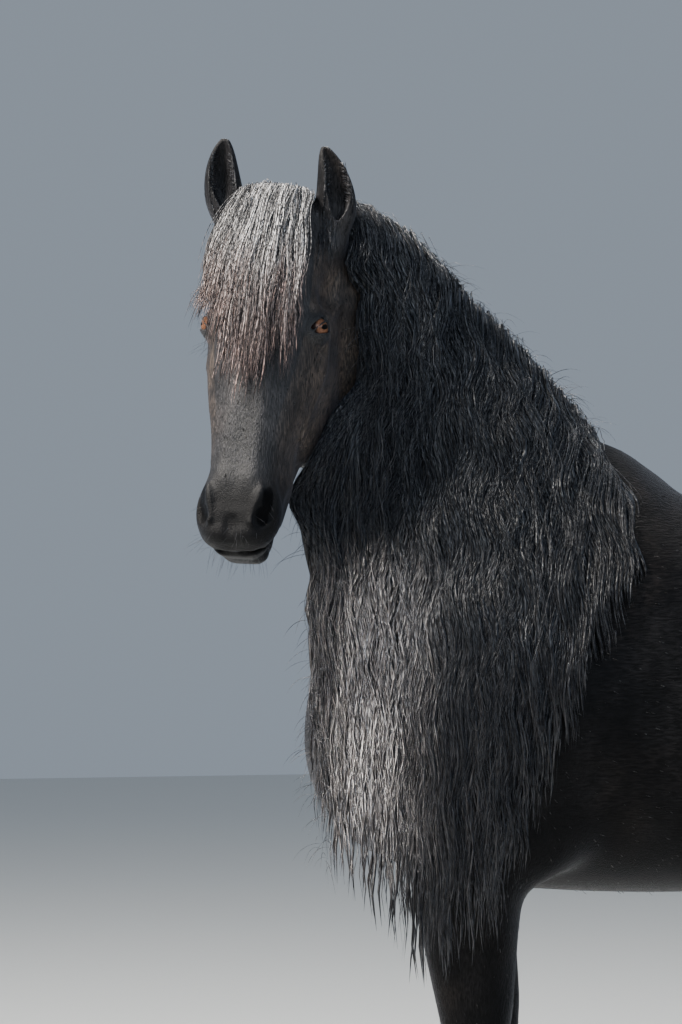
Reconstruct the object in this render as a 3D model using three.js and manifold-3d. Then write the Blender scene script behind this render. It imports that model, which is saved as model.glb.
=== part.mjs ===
// A Friesian horse at life size, standing, with its head turned to its left.
// Millimetres, +Z up. The horse faces -Y and its left side is +X. The heights below
// are measured from the ground, and lengths along the body from the top of the withers.
import * as THREE from "three";
import { mergeVertices } from "three/addons/utils/BufferGeometryUtils.js";
import Module from "manifold-3d";

const wasm = await Module();
wasm.setup();

// Driving sizes
const GAP = 0.3; // between neighbouring pieces
const POLL = [118, -627, 2023]; // top of the head, between the ears
const HEAD_YAW = 63; // degrees, turned to the horse's left
const HEAD_PITCH = 18.5; // degrees, the nose forward of straight down
const HEAD_ROLL = 2.8; // degrees, its left side lower
const NEAR_FORELEG_Y = -283;
const FAR_FORELEG_Y = -232;
const FAR_FORELEG_BACK = 105; // how far the far fore hoof stands behind its elbow
const NEAR_HIND_FORWARD = 70;
const FAR_HIND_BACK = 25;
const LEG_CUT_Z = 806; // where the legs part from the trunk
const MANE_STARTS = 45; // behind the front of the poll, where the forelock ends
const FETLOCK_CUT_Z = 318; // where the feathered part of a leg begins
const FLOOR_CLEAR = 18; // the lowest hair above the ground
const EYE_RADIUS = 22;
const EYE_AT = [88, 43, -223];
const EYE_LOOKS = [0.88, -0.47, 0.05];
const EYE_OPENING = [19, 11, 15]; // half the length and height of the gap between the lids, and its depth
// The left and the right ear: degrees turned outwards, how far the tip leans outwards, length
const EARS = [
  [27, 0, 152],
  [-10, 28, 163],
];
const [MANE_SEED, FORELOCK_SEED, TAIL_SEED] = [159380, 159380, 88109];
const COLOR = { coat: 0x17130f, hair: 0x0f0d0c, hoof: 0x2b2724, eye: 0x3a1f10 };

// Sections of the trunk: y, top, widest height, bottom, half width, power of the top, of the bottom
const TRUNK = [
  [-538, 1180, 1110, 1040, 62, 1, 1],
  [-520, 1260, 1115, 985, 128, 1, 1],
  [-470, 1340, 1120, 925, 196, 1, 1],
  [-390, 1420, 1130, 880, 232, 1, 1],
  [-290, 1490, 1140, 852, 250, 1.1, 1],
  [-180, 1550, 1150, 836, 258, 1.25, 0.95],
  [-80, 1592, 1160, 828, 264, 1.45, 0.9],
  [0, 1600, 1165, 824, 272, 1.5, 0.9],
  [70, 1556, 1165, 822, 282, 1.35, 0.9],
  [140, 1516, 1160, 822, 292, 1.1, 0.9],
  [240, 1492, 1150, 820, 304, 0.95, 0.9],
  [370, 1486, 1145, 822, 314, 0.86, 0.9],
  [500, 1497, 1150, 832, 316, 0.82, 0.92],
  [620, 1518, 1165, 856, 306, 0.82, 0.95],
  [740, 1546, 1195, 892, 298, 0.84, 1],
  [850, 1560, 1220, 925, 292, 0.86, 1],
  [950, 1548, 1230, 950, 282, 0.9, 1],
  [1040, 1502, 1225, 975, 258, 0.95, 1],
  [1105, 1440, 1220, 1010, 205, 1, 1],
  [1135, 1370, 1220, 1070, 120, 1, 1],
];

// Sections of the neck: crest y and z, underside y and z, half width, x, yaw, power of the crest
const NECK = [
  [60, 1536, -430, 940, 165, 0, 0, 1.3],
  [-20, 1592, -478, 1040, 172, 0, 0, 1.3],
  [-62, 1636, -508, 1130, 166, 0, 0, 1.3],
  [-112, 1692, -506, 1240, 150, 0, 0, 1.3],
  [-178, 1764, -498, 1350, 134, 0, 3, 1.25],
  [-250, 1832, -494, 1450, 120, 3, 9, 1.2],
  [-326, 1900, -500, 1545, 109, 9, 16, 1.15],
  [-404, 1960, -520, 1635, 99, 20, 25, 1.1],
  [-482, 2000, -548, 1712, 92, 38, 35, 1],
  [-556, 2012, -584, 1790, 80, 62, 44, 1],
];

// Sections of the head as it hangs from the poll: height, front, widest, back, half width, x, lean
const SKULL = [
  [26, 44, 68, 100, 30, 0, 0],
  [14, 14, 66, 126, 56, 0, 0],
  [-20, -4, 62, 155, 74, 0, 0],
  [-65, -14, 70, 178, 88, 0, 0],
  [-115, -20, 88, 195, 98, 0, 0],
  [-165, -22, 98, 204, 103, 0, 0],
  [-215, -18, 102, 204, 104, 0, 0],
  [-265, -10, 98, 194, 105, 0, 0],
  [-315, -4, 88, 178, 98, 0, 0],
  [-370, 0, 78, 160, 85, 0, 0],
  [-430, 4, 70, 144, 71, 0, 0],
  [-490, 6, 64, 132, 61, 0, 0],
  [-540, 8, 62, 124, 62, 0, 0],
  [-575, 18, 66, 118, 59, 0, 0],
  [-602, 36, 72, 110, 48, 0, 0],
  [-617, 62, 82, 98, 26, 0, 0],
];
const JAW = [
  [-40, 130, 150, 172, 44, 0, 0],
  [-75, 100, 160, 218, 62, 0, 0],
  [-125, 90, 170, 254, 72, 0, 0],
  [-180, 90, 175, 270, 74, 0, 0],
  [-240, 90, 170, 260, 68, 0, 0],
  [-300, 90, 160, 240, 72, 0, 0],
  [-370, 90, 148, 208, 76, 0, 0],
  [-440, 90, 138, 176, 64, 0, 0],
  [-505, 90, 132, 156, 50, 0, 0],
  [-550, 92, 132, 160, 42, 0, 0],
  [-585, 96, 128, 156, 39, 0, 0],
  [-608, 104, 122, 138, 24, 0, 0],
];

// Sections of a foreleg, from its own axis: height, front, widest, back, half width, x, lean
const FORELEG = [
  [1040, -70, 10, 100, 60, 140, 0],
  [980, -100, 10, 122, 76, 150, 0],
  [920, -104, 0, 112, 78, 156, 0],
  [860, -106, -8, 82, 72, 157, 0],
  [790, -92, -6, 72, 64, 154, 0],
  [710, -78, -4, 68, 56, 149, 0],
  [630, -60, -1, 62, 50, 145, 0],
  [570, -53, -1, 52, 45, 143, 0],
  [528, -53, -2, 50, 46, 142, 0],
  [488, -57, -3, 54, 52, 141, 0],
  [448, -54, -3, 48, 51, 140, 0],
  [412, -42, 2, 43, 42, 140, 0],
  [372, -34, 4, 42, 33, 140, 0],
  [300, -32, 4, 42, 30, 140, 0],
  [235, -33, 4, 43, 32, 140, 0],
  [205, -38, 4, 47, 37, 140, 0],
  [178, -42, 2, 49, 40, 140, 0.05],
  [152, -52, -8, 40, 39, 140, 0.12],
  [124, -68, -24, 24, 38, 140, 0.2],
  [96, -84, -40, 8, 43, 140, 0.26],
  [64, -102, -52, -3, 51, 140, 0.28],
];
const FORE_HOOF = [
  [63.6, -104, -52, -1, 53, 140, 0.28],
  [28, -134, -66, -2, 62, 140, 0.12],
  [0, -158, -76, -4, 69, 140, 0],
];

// Sections of a hind leg: height, front, widest, back, half width, x, lean
const HINDLEG = [
  [1360, 800, 930, 1050, 70, 140, 0],
  [1270, 742, 920, 1098, 116, 158, 0],
  [1180, 712, 915, 1124, 134, 160, 0],
  [1090, 698, 905, 1122, 130, 158, 0],
  [1010, 704, 890, 1096, 116, 155, 0],
  [940, 734, 895, 1062, 99, 151, 0],
  [870, 786, 915, 1044, 83, 147, 0],
  [805, 840, 935, 1036, 70, 143, 0],
  [745, 890, 960, 1038, 59, 139, 0],
  [695, 930, 985, 1056, 52, 137, 0],
  [655, 960, 1010, 1092, 48, 136, 0],
  [620, 982, 1035, 1118, 48, 135, 0],
  [585, 998, 1052, 1120, 51, 135, 0],
  [545, 1008, 1058, 1114, 50, 134, 0],
  [502, 1020, 1064, 1109, 43, 133, 0],
  [458, 1029, 1068, 1107, 36, 132, 0],
  [390, 1034, 1070, 1106, 33, 132, 0],
  [305, 1034, 1071, 1107, 32, 132, 0],
  [245, 1032, 1071, 1109, 34, 132, 0],
  [212, 1026, 1070, 1113, 40, 132, 0],
  [184, 1020, 1066, 1112, 41, 132, 0.05],
  [156, 1008, 1054, 1102, 39, 132, 0.12],
  [126, 992, 1038, 1086, 38, 132, 0.2],
  [97, 974, 1022, 1070, 42, 132, 0.26],
  [64, 958, 1008, 1056, 50, 132, 0.28],
];
const HIND_HOOF = [
  [63.6, 956, 1008, 1058, 52, 132, 0.28],
  [28, 928, 994, 1057, 59, 132, 0.12],
  [0, 906, 984, 1055, 65, 132, 0],
];

// Catmull-Rom through the rows of a table, at row number u
function rowAt(rows, u) {
  const last = rows.length - 1;
  const i = Math.min(Math.floor(u), last - 1);
  const t = u - i;
  const [a, b, c, d] = [-1, 0, 1, 2].map((k) => rows[Math.min(Math.max(i + k, 0), last)]);
  return b.map((_, k) => {
    const bend = 2 * a[k] - 5 * b[k] + 4 * c[k] - d[k];
    const twist = 3 * (b[k] - c[k]) + d[k] - a[k];
    return b[k] + 0.5 * t * (c[k] - a[k] + t * (bend + t * twist));
  });
}

const signedPower = (v, p) => Math.sign(v) * Math.abs(v) ** p;

// One closed section: up and down are its reach along the two ends of the up vector
function ring(sides, { centre, side, up, reachUp, reachDown, half, powerUp = 1, powerDown = 1 }) {
  return Array.from({ length: sides }, (_, k) => {
    const angle = (2 * Math.PI * (k + 0.5)) / sides;
    const c = Math.cos(angle);
    const s = signedPower(Math.sin(angle), c > 0 ? powerUp : powerDown);
    return centre
      .clone()
      .addScaledVector(side, half * s)
      .addScaledVector(up, c > 0 ? reachUp * c : reachDown * c);
  });
}

const X = new THREE.Vector3(1, 0, 0);
const Z = new THREE.Vector3(0, 0, 1);

function trunkRing([y, top, wide, bottom, half, powerUp, powerDown], sides, grow) {
  const centre = new THREE.Vector3(0, y, wide);
  const reach = { reachUp: top - wide + grow, reachDown: wide - bottom + grow, half: half + grow };
  return ring(sides, { centre, side: X, up: Z, ...reach, powerUp, powerDown });
}

function columnRing([z, front, wide, back, half, x, lean], sides, grow) {
  const centre = new THREE.Vector3(x, wide, z);
  const up = new THREE.Vector3(0, -1, -lean * -1);
  const reach = { reachUp: wide - front + grow, reachDown: back - wide + grow, half: half + grow };
  return ring(sides, { centre, side: X, up, ...reach });
}

function neckRing([yTop, zTop, yLow, zLow, half, x, yaw, powerUp], sides, grow) {
  const turn = THREE.MathUtils.degToRad(yaw);
  const side = new THREE.Vector3(Math.cos(turn), Math.sin(turn), 0);
  const rear = new THREE.Vector3(-Math.sin(turn), Math.cos(turn), 0);
  const reach = Math.hypot(yTop - yLow, zTop - zLow) / 2;
  const up = rear.multiplyScalar((yTop - yLow) / 2 / reach).addScaledVector(Z, (zTop - zLow) / 2 / reach);
  const centre = new THREE.Vector3(x, (yTop + yLow) / 2, (zTop + zLow) / 2);
  const size = { reachUp: reach + grow, reachDown: reach + grow, half: half + grow };
  return ring(sides, { centre, side, up, ...size, powerUp });
}

// A closed mesh through rings of points, its ends closed by fans
function loft(rings) {
  const sides = rings[0].length;
  const points = rings.flat();
  const index = [];
  for (let r = 0; r + 1 < rings.length; r += 1) {
    for (let k = 0; k < sides; k += 1) {
      const [a, b] = [r * sides + k, r * sides + ((k + 1) % sides)];
      index.push(a, b, b + sides, a, b + sides, a + sides);
    }
  }
  for (const [r, flip] of [[0, true], [rings.length - 1, false]]) {
    const middle = points.push(middleOf(rings[r])) - 1;
    for (let k = 0; k < sides; k += 1) {
      const [a, b] = [r * sides + k, r * sides + ((k + 1) % sides)];
      index.push(...(flip ? [middle, b, a] : [middle, a, b]));
    }
  }
  const geometry = new THREE.BufferGeometry().setFromPoints(points);
  return geometry.setIndex(index);
}

// A closed geometry as a solid, turned outside out where its faces point inwards
function solid(geometry) {
  const bare = geometry.clone();
  bare.deleteAttribute("normal");
  bare.deleteAttribute("uv");
  const merged = mergeVertices(bare, 1e-3);
  const vertProperties = merged.attributes.position.array;
  const triVerts = new Uint32Array(merged.index.array);
  const made = new wasm.Manifold(new wasm.Mesh({ numProp: 3, vertProperties, triVerts }));
  if (made.volume() > 0) return made;
  for (let i = 0; i < triVerts.length; i += 3) {
    [triVerts[i], triVerts[i + 1]] = [triVerts[i + 1], triVerts[i]];
  }
  return new wasm.Manifold(new wasm.Mesh({ numProp: 3, vertProperties, triVerts }));
}

const join = (solids) => solids.reduce((sum, s) => sum.add(s));

const middleOf = (points) =>
  points.reduce((sum, p) => sum.add(p), new THREE.Vector3()).divideScalar(points.length);

// Moves an end ring away from the ring beside it
function pushOut(end, beside, by) {
  const move = middleOf(end).sub(middleOf(beside)).setLength(by || 0);
  for (const p of end) p.add(move);
}

// Through all rows of a table, with `steps` rings from each row to the next
function sweep(rows, sectionRing, sides, steps = 1, grow = 0) {
  const rings = [];
  for (let k = 0; k <= (rows.length - 1) * steps; k += 1) {
    rings.push(sectionRing(rowAt(rows, k / steps), sides, grow));
  }
  pushOut(rings[0], rings[1], grow);
  pushOut(rings[rings.length - 1], rings[rings.length - 2], grow);
  return solid(loft(rings));
}

// An ellipsoid; turn is degrees about X, Y and Z
function ball([x, y, z], [rx, ry, rz], [tx, ty, tz] = [0, 0, 0], sides = 14) {
  const turn = new THREE.Euler(...[tx, ty, tz].map(THREE.MathUtils.degToRad), "ZYX");
  const matrix = new THREE.Matrix4().compose(
    new THREE.Vector3(x, y, z),
    new THREE.Quaternion().setFromEuler(turn),
    new THREE.Vector3(rx, ry, rz),
  );
  return solid(new THREE.SphereGeometry(1, sides, Math.round(sides * 0.55)).applyMatrix4(matrix));
}

const mirrored = (s) => s.mirror([1, 0, 0]);
const bothSides = (s) => s.add(mirrored(s));

function moved(s, matrix) {
  return s.transform(matrix.elements);
}

// What lies on the side of a plane that its normal points to, at least `clear` from the plane
function beyond(s, point, normal, clear = GAP / 2) {
  const far = 3000;
  const n = new THREE.Vector3(...normal).normalize();
  const box = new THREE.BoxGeometry(2 * far, 2 * far, 2 * far);
  const turn = new THREE.Quaternion().setFromUnitVectors(Z, n);
  const centre = new THREE.Vector3(...point).addScaledVector(n, far + clear);
  box.applyMatrix4(new THREE.Matrix4().compose(centre, turn, new THREE.Vector3(1, 1, 1)));
  return s.intersect(solid(box));
}

const largest = (s) => s.decompose().reduce((a, b) => (b.volume() > a.volume() ? b : a));

// Trunk with the shoulder blades, arms and haunches that stand out of it
function trunk(grow = 0) {
  const body = sweep(TRUNK, trunkRing, 18, 1, grow);
  const size = (...r) => r.map((v) => v + grow);
  const blade = ball([126, -220, 1290], size(98, 150, 290), [38, -13, 0], 10);
  const arm = ball([165, -330, 1080], size(80, 150, 112), [-30, 0, 0], 10);
  const breast = ball([84, -430, 1090], size(104, 98, 140), [0, 0, 0], 10);
  const elbow = ball([176, -200, 1000], size(68, 110, 140), [0, 0, 0], 10);
  const hip = ball([150, 770, 1370], size(122, 200, 130), [-14, 0, 0], 10);
  return join([body, ...[blade, arm, breast, elbow, hip].map(bothSides)]);
}

const smooth = (t) => t * t * (3 - 2 * t);
const clamp01 = (t) => Math.min(1, Math.max(0, t));

// A leg's table with each section moved along y by at(height)
function shifted(rows, at) {
  return rows.map(([z, front, wide, back, half, x, lean]) => {
    const move = at(z);
    return [z, front + move, wide + move, back + move, half, x, lean];
  });
}

const LEGS = {
  fore_left: { rows: FORELEG, hoof: FORE_HOOF, side: 1, seed: 16838, at: () => NEAR_FORELEG_Y },
  fore_right: {
    rows: FORELEG,
    hoof: FORE_HOOF,
    side: -1,
    seed: 16838,
    at: (z) => FAR_FORELEG_Y + FAR_FORELEG_BACK * clamp01((950 - z) / 850),
  },
  hind_left: {
    rows: HINDLEG,
    hoof: HIND_HOOF,
    side: 1,
    seed: 16838,
    at: (z) => -NEAR_HIND_FORWARD * smooth(clamp01((1150 - z) / 1050)),
  },
  hind_right: {
    rows: HINDLEG,
    hoof: HIND_HOOF,
    side: -1,
    seed: 16838,
    at: (z) => FAR_HIND_BACK * smooth(clamp01((1150 - z) / 1050)),
  },
};

const turned = (s, side) => (side > 0 ? s : mirrored(s));

function legColumn({ rows, side, at }, grow = 0) {
  return turned(sweep(shifted(rows, at), columnRing, 12, 1, grow), side);
}

function hoofBlock({ hoof, side, at }, grow = 0) {
  return turned(sweep(shifted(hoof, at), columnRing, 16, 1, grow), side);
}

const headMatrix = new THREE.Matrix4()
  .makeTranslation(...POLL)
  .multiply(new THREE.Matrix4().makeRotationZ(THREE.MathUtils.degToRad(HEAD_YAW)))
  .multiply(new THREE.Matrix4().makeRotationX(THREE.MathUtils.degToRad(-HEAD_PITCH)))
  .multiply(new THREE.Matrix4().makeRotationY(THREE.MathUtils.degToRad(HEAD_ROLL)));

// The head without its openings, in its own frame: face to -Y, hanging down from the poll
function headFlesh(grow = 0) {
  const size = (...r) => r.map((v) => v + grow);
  const skull = sweep(SKULL, columnRing, 16, 1, grow);
  const jaw = sweep(JAW, columnRing, 12, 1, grow);
  const [ex, ey, ez] = EYE_AT;
  const cheek = ball([58, 165, -240], size(48, 92, 182), [4, 0, 0], 12);
  const orbit = ball([ex - 6, ey + 2, ez + 2], size(EYE_RADIUS + 10, 34, 36), [0, 0, 0], 14);
  const nostril = ball([42, 44, -545], size(26, 38, 42), [20, 0, -20], 12);
  const earRoot = ball([76, 78, -66], size(34, 34, 46), [0, 24, 0], 12);
  return join([skull, jaw, ...[cheek, orbit, nostril, earRoot].map(bothSides)]);
}

// Eye sockets with the gap between the lids, nostrils and the line of the mouth
function headOpenings() {
  const socket = ball(EYE_AT, Array(3).fill(EYE_RADIUS + GAP), [0, 0, 0], 14);
  const look = new THREE.Vector3(...EYE_LOOKS).normalize();
  const front = new THREE.Vector3(...EYE_AT).addScaledVector(look, EYE_RADIUS + 2);
  const frame = new THREE.Matrix4().lookAt(look, new THREE.Vector3(), new THREE.Vector3(0, 0.35, 1));
  frame.setPosition(front);
  const [long, high, deep] = EYE_OPENING;
  const lens = new THREE.SphereGeometry(1, 12, 8).scale(high, long, deep).applyMatrix4(frame);
  const nostril = ball([48, 6, -546], [11, 22, 23], [0, 0, -24], 10);
  const lipLine = new THREE.BoxGeometry(160, 3, 130).rotateX(THREE.MathUtils.degToRad(9));
  const kept = new THREE.CylinderGeometry(1, 1, 90, 12).scale(48, 1, 68).translate(0, 106, -548);
  const mouth = solid(lipLine.translate(0, 106, -585)).subtract(solid(kept));
  return join([mouth, ...[socket, solid(lens), nostril].map(bothSides)]);
}

// An upright ear at the head's left, cupped towards the front
function ear([outwards, lean, length]) {
  const rings = [[], []];
  const turn = THREE.MathUtils.degToRad(outwards);
  const side = new THREE.Vector3(Math.cos(turn), Math.sin(turn), 0);
  const up = new THREE.Vector3(Math.sin(turn), -Math.cos(turn), 0);
  const section = (centre, half, deep) =>
    ring(10, { centre, side, up, reachUp: deep, reachDown: deep, half });
  for (let k = 0; k <= 6; k += 1) {
    const t = k / 6;
    const leaf = Math.sqrt(Math.sin(Math.PI * Math.min(0.98, 0.28 + 0.7 * t)));
    const wide = 38 * leaf * (0.72 + 0.28 * smooth(clamp01(2.5 * t)));
    const x = 84 + 12 * Math.sin(t * 2.9) - 12 * t ** 3 + lean * t ** 1.5;
    const centre = new THREE.Vector3(x, 72 - 74 * t, -62 + length * t);
    rings[0].push(section(centre, wide, 0.72 * wide));
    const rim = Math.max(wide - 3.5, 0.8) * (0.4 + 0.6 * smooth(clamp01(2 * t)));
    const raised = t === 1 ? -12 : 16 * (1 - t) ** 3;
    const lifted = centre.clone().addScaledVector(up, 0.5 * wide).addScaledVector(Z, raised);
    rings[1].push(section(lifted, rim * 0.78, rim * 0.66));
  }
  return solid(loft(rings[0])).subtract(solid(loft(rings[1])));
}

// A flat tapered lock through points, with a ridge along its outer face
function lock(points, { across, out, width, thick, tip = 0.22 }) {
  const last = points.length - 1;
  const frames = points.map((_, i) => {
    const along = points[Math.min(i + 1, last)].clone().sub(points[Math.max(i - 1, 0)]).normalize();
    const side = across.clone().addScaledVector(along, -across.dot(along)).normalize();
    return [side, side.clone().cross(along)];
  });
  const outward = Math.sign(frames[last][1].dot(out));
  const rings = points.map((p, i) => {
    const side = frames[i][0];
    const ridge = frames[i][1].multiplyScalar(outward);
    const t = i / last;
    const taper = t < 0.55 ? 0.7 + 0.3 * Math.min(1, 4 * t) : 1 - (1 - tip) * ((t - 0.55) / 0.45) ** 1.4;
    const half = (width * taper) / 2;
    return [[side, half], [ridge, thick * (1 - 0.75 * t)], [side, -half]].map(([v, r]) =>
      p.clone().addScaledVector(v, r),
    );
  });
  return solid(loft(rings));
}

// Seeded random numbers between low and high
function seeded(seed) {
  let state = seed;
  return (low = 0, high = 1) => {
    state = (state * 16807) % 2147483647;
    return low + ((high - low) * (state - 1)) / 2147483646;
  };
}

// How far flesh reaches towards +X over the cells of a grid in y and z
const CELL = 15;
const GRID = { y0: -750, z0: 0, columns: 90, rows: 150 };
function reachGrid(flesh) {
  const { vertProperties: v, triVerts: t } = flesh.getMesh();
  const reach = Array.from({ length: GRID.columns }, () => new Array(GRID.rows).fill(-Infinity));
  for (let i = 0; i < t.length; i += 3) {
    const [a, b, c] = [0, 1, 2].map((k) => {
      const j = 3 * t[i + k];
      return [v[j], (v[j + 1] - GRID.y0) / CELL, (v[j + 2] - GRID.z0) / CELL];
    });
    const area = (b[1] - a[1]) * (c[2] - a[2]) - (c[1] - a[1]) * (b[2] - a[2]);
    if (area <= 0) continue;
    const low = [1, 2].map((k) => Math.max(0, Math.ceil(Math.min(a[k], b[k], c[k]))));
    const high = [1, 2].map((k) => Math.floor(Math.max(a[k], b[k], c[k])));
    for (let y = low[0]; y <= Math.min(high[0], GRID.columns - 1); y += 1) {
      for (let z = low[1]; z <= Math.min(high[1], GRID.rows - 1); z += 1) {
        const wb = ((y - a[1]) * (c[2] - a[2]) - (c[1] - a[1]) * (z - a[2])) / area;
        const wc = ((b[1] - a[1]) * (z - a[2]) - (y - a[1]) * (b[2] - a[2])) / area;
        if (wb < 0 || wc < 0 || wb + wc > 1) continue;
        reach[y][z] = Math.max(reach[y][z], a[0] + wb * (b[0] - a[0]) + wc * (c[0] - a[0]));
      }
    }
  }
  return reach;
}

// The surface that hair lies on: it hangs plumb from whatever reaches out furthest above
function drapeOver(flesh) {
  const reach = reachGrid(flesh);
  for (const column of reach) {
    for (let z = GRID.rows - 2; z >= 0; z -= 1) column[z] = Math.max(column[z], column[z + 1]);
  }
  const wide = reach.map((_, y) => reach[y].map((_, z) => {
    let most = 0;
    for (let k = -3; k <= 3; k += 1) most = Math.max(most, (reach[y + k]?.[z] ?? 0) - 3 * k * k);
    return most;
  }));
  return (y, z) => {
    const u = Math.min(GRID.columns - 2, Math.max(0, (y - GRID.y0) / CELL));
    const w = Math.min(GRID.rows - 2, Math.max(0, (z - GRID.z0) / CELL));
    const [i, j] = [Math.floor(u), Math.floor(w)];
    const [s, t] = [u - i, w - j];
    const low = wide[i][j] * (1 - s) + wide[i + 1][j] * s;
    const high = wide[i][j + 1] * (1 - s) + wide[i + 1][j + 1] * s;
    return low * (1 - t) + high * t;
  };
}

// The crest of the neck at share v, from the poll at 0 to the withers at 1
function crestAt(v) {
  const row = rowAt(NECK, 9 - 7.1 * v);
  return { y: row[0], z: row[1], x: row[5] };
}

// Where the mane ends: share along the crest, height of the tips, y of the tips
const MANE_ENDS = [
  [0, 1000, -575],
  [0.1, 900, -545],
  [0.22, 850, -500],
  [0.36, 735, -420],
  [0.5, 730, -365],
  [0.64, 800, -285],
  [0.76, 1000, -205],
  [0.87, 1200, -130],
  [0.95, 1330, -60],
  [1, 1400, -20],
];
const MANE_LAYERS = [
  { locks: 7, out: 8, width: 84, longer: 0 },
  { locks: 7, out: 22, width: 74, longer: 20 },
  { locks: 6, out: 36, width: 64, longer: 0 },
];

function endsAt(v) {
  const i = MANE_ENDS.findIndex((row) => row[0] >= v);
  const [a, b] = [MANE_ENDS[Math.max(i - 1, 0)], MANE_ENDS[i]];
  const t = b[0] > a[0] ? (v - a[0]) / (b[0] - a[0]) : 0;
  return a.map((value, k) => value + t * (b[k] - value));
}

function maneLock(v, drape, { out, width, longer }, random) {
  const crest = crestAt(v);
  const [, tipZ, tipY] = endsAt(v);
  const endZ = tipZ - longer + random(-30, 30);
  const phase = random(0, 6.28);
  const stations = Math.round(3 + (crest.z - endZ) / 330);
  const points = [
    new THREE.Vector3(crest.x - 34, crest.y, crest.z - 26 + 0.3 * out),
    new THREE.Vector3(crest.x + 16, crest.y, crest.z - 2 + 0.9 * out),
  ];
  for (let k = 1; k <= stations; k += 1) {
    const t = k / stations;
    const z = crest.z - 16 - (crest.z - 16 - endZ) * t ** 1.15;
    const behindJaw = 95 * Math.exp(-(((z - 1780) / 190) ** 2)) * clamp01(1 - 2.6 * v);
    const wave = 9 * Math.sin(phase + t * 9) * Math.min(1, 3 * t);
    const y = crest.y + (tipY - crest.y) * smooth(Math.min(1, 1.25 * t)) + behindJaw + wave;
    points.push(new THREE.Vector3(drape(y, z) + out, y, z));
  }
  return lock(points, { across: new THREE.Vector3(0, 1, 0), out: X, width, thick: 9 });
}

function mane(drape, random = seeded(MANE_SEED)) {
  return MANE_LAYERS.flatMap((layer, n) => Array.from({ length: layer.locks }, (_, k) => {
    const v = clamp01((k + 0.3 + 0.2 * n + random(-0.1, 0.1)) / layer.locks);
    return maneLock(v, drape, layer, random);
  }));
}

// Locks that fall from the poll over the forehead: share across, how far down, drift to the far side
function forelock(random = seeded(FORELOCK_SEED)) {
  const made = [];
  for (const [count, out, width] of [[4, 9, 42], [4, 20, 36]]) {
    for (let k = 0; k < count; k += 1) {
      const u = (k + 0.5) / count + random(-0.04, 0.04);
      const rootX = -52 + 98 * u;
      const tipX = -122 + 158 * u;
      const length = 265 + 130 * Math.sin(Math.PI * (0.06 + 0.84 * u)) + random(-14, 14);
      const points = [];
      for (let j = 0; j <= 5; j += 1) {
        const t = j / 5;
        const z = j === 0 ? -34 : 22 - (length - 20) * t ** 1.3;
        const x = rootX + (tipX - rootX) * t ** 0.85 + 5 * Math.sin(6 * t + 2 * k);
        points.push(new THREE.Vector3(x, j === 0 ? 50 : faceFront(x, z) - out, z));
      }
      made.push(lock(points, { across: X, out: new THREE.Vector3(0, -1, 0.2), width, thick: 7 }));
    }
  }
  return made;
}

// The front of the face at x and z in the head's own frame, rounded over the poll
function faceFront(x, z) {
  const heights = SKULL.map((row) => row[0]);
  const top = clamp01((z + 10) / 32);
  let u = heights.findIndex((h) => h <= Math.min(z, heights[0]));
  u = Math.max(1, u);
  const t = clamp01((heights[u - 1] - z) / (heights[u - 1] - heights[u]));
  const front = SKULL[u - 1][1] + t * (SKULL[u][1] - SKULL[u - 1][1]);
  const half = SKULL[u - 1][4] + t * (SKULL[u][4] - SKULL[u - 1][4]) + 14;
  const round = 1 - Math.sqrt(Math.max(0, 1 - Math.min(0.96, x / half) ** 2));
  return front + 62 * round + 26 * top;
}

// Dock and hair of the tail
function tail(random = seeded(TAIL_SEED)) {
  const line = (t) => {
    const y = 1060 + 155 * (1 - Math.exp(-10 * t)) - 25 * t;
    return new THREE.Vector3(0, y, 1462 - 1400 * t ** 1.3);
  };
  const dock = [];
  for (let k = 0; k <= 7; k += 1) {
    const t = (0.33 * k) / 7;
    const half = 46 - 60 * t;
    const up = new THREE.Vector3(0, 0.5 - 1.5 * t, 0.85);
    dock.push(ring(12, { centre: line(t), side: X, up, reachUp: half, reachDown: half, half }));
  }
  const locks = [];
  for (const [count, out, start, reach] of [[6, 80, 0.13, 1], [4, 52, 0.2, 1], [2, 24, 0.28, 0.98]]) {
    for (let k = 0; k < count; k += 1) {
      const angle = (2 * Math.PI * (k + random(0.3, 0.7))) / count;
      const away = new THREE.Vector3(Math.sin(angle), Math.cos(angle), 0);
      const stop = reach - random(0.01, 0.12);
      const phase = random(0, 6.28);
      const points = [];
      for (let j = 0; j <= 6; j += 1) {
        const share = j / 6;
        const t = start + (stop - start) * share;
        const swell = 0.75 + 0.75 * Math.sin(Math.PI * Math.min(1, 0.15 + 0.8 * share));
        const spread = j === 0 ? 0 : out * swell;
        const wave = 8 * Math.sin(phase + 1.4 * j);
        points.push(line(t).addScaledVector(away, spread).addScaledVector(X, wave));
      }
      const across = new THREE.Vector3(Math.cos(angle), -Math.sin(angle), 0);
      locks.push(lock(points, { across, out: away, width: 88, thick: 14 }));
    }
  }
  return { dock: solid(loft(dock)), locks };
}

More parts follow.
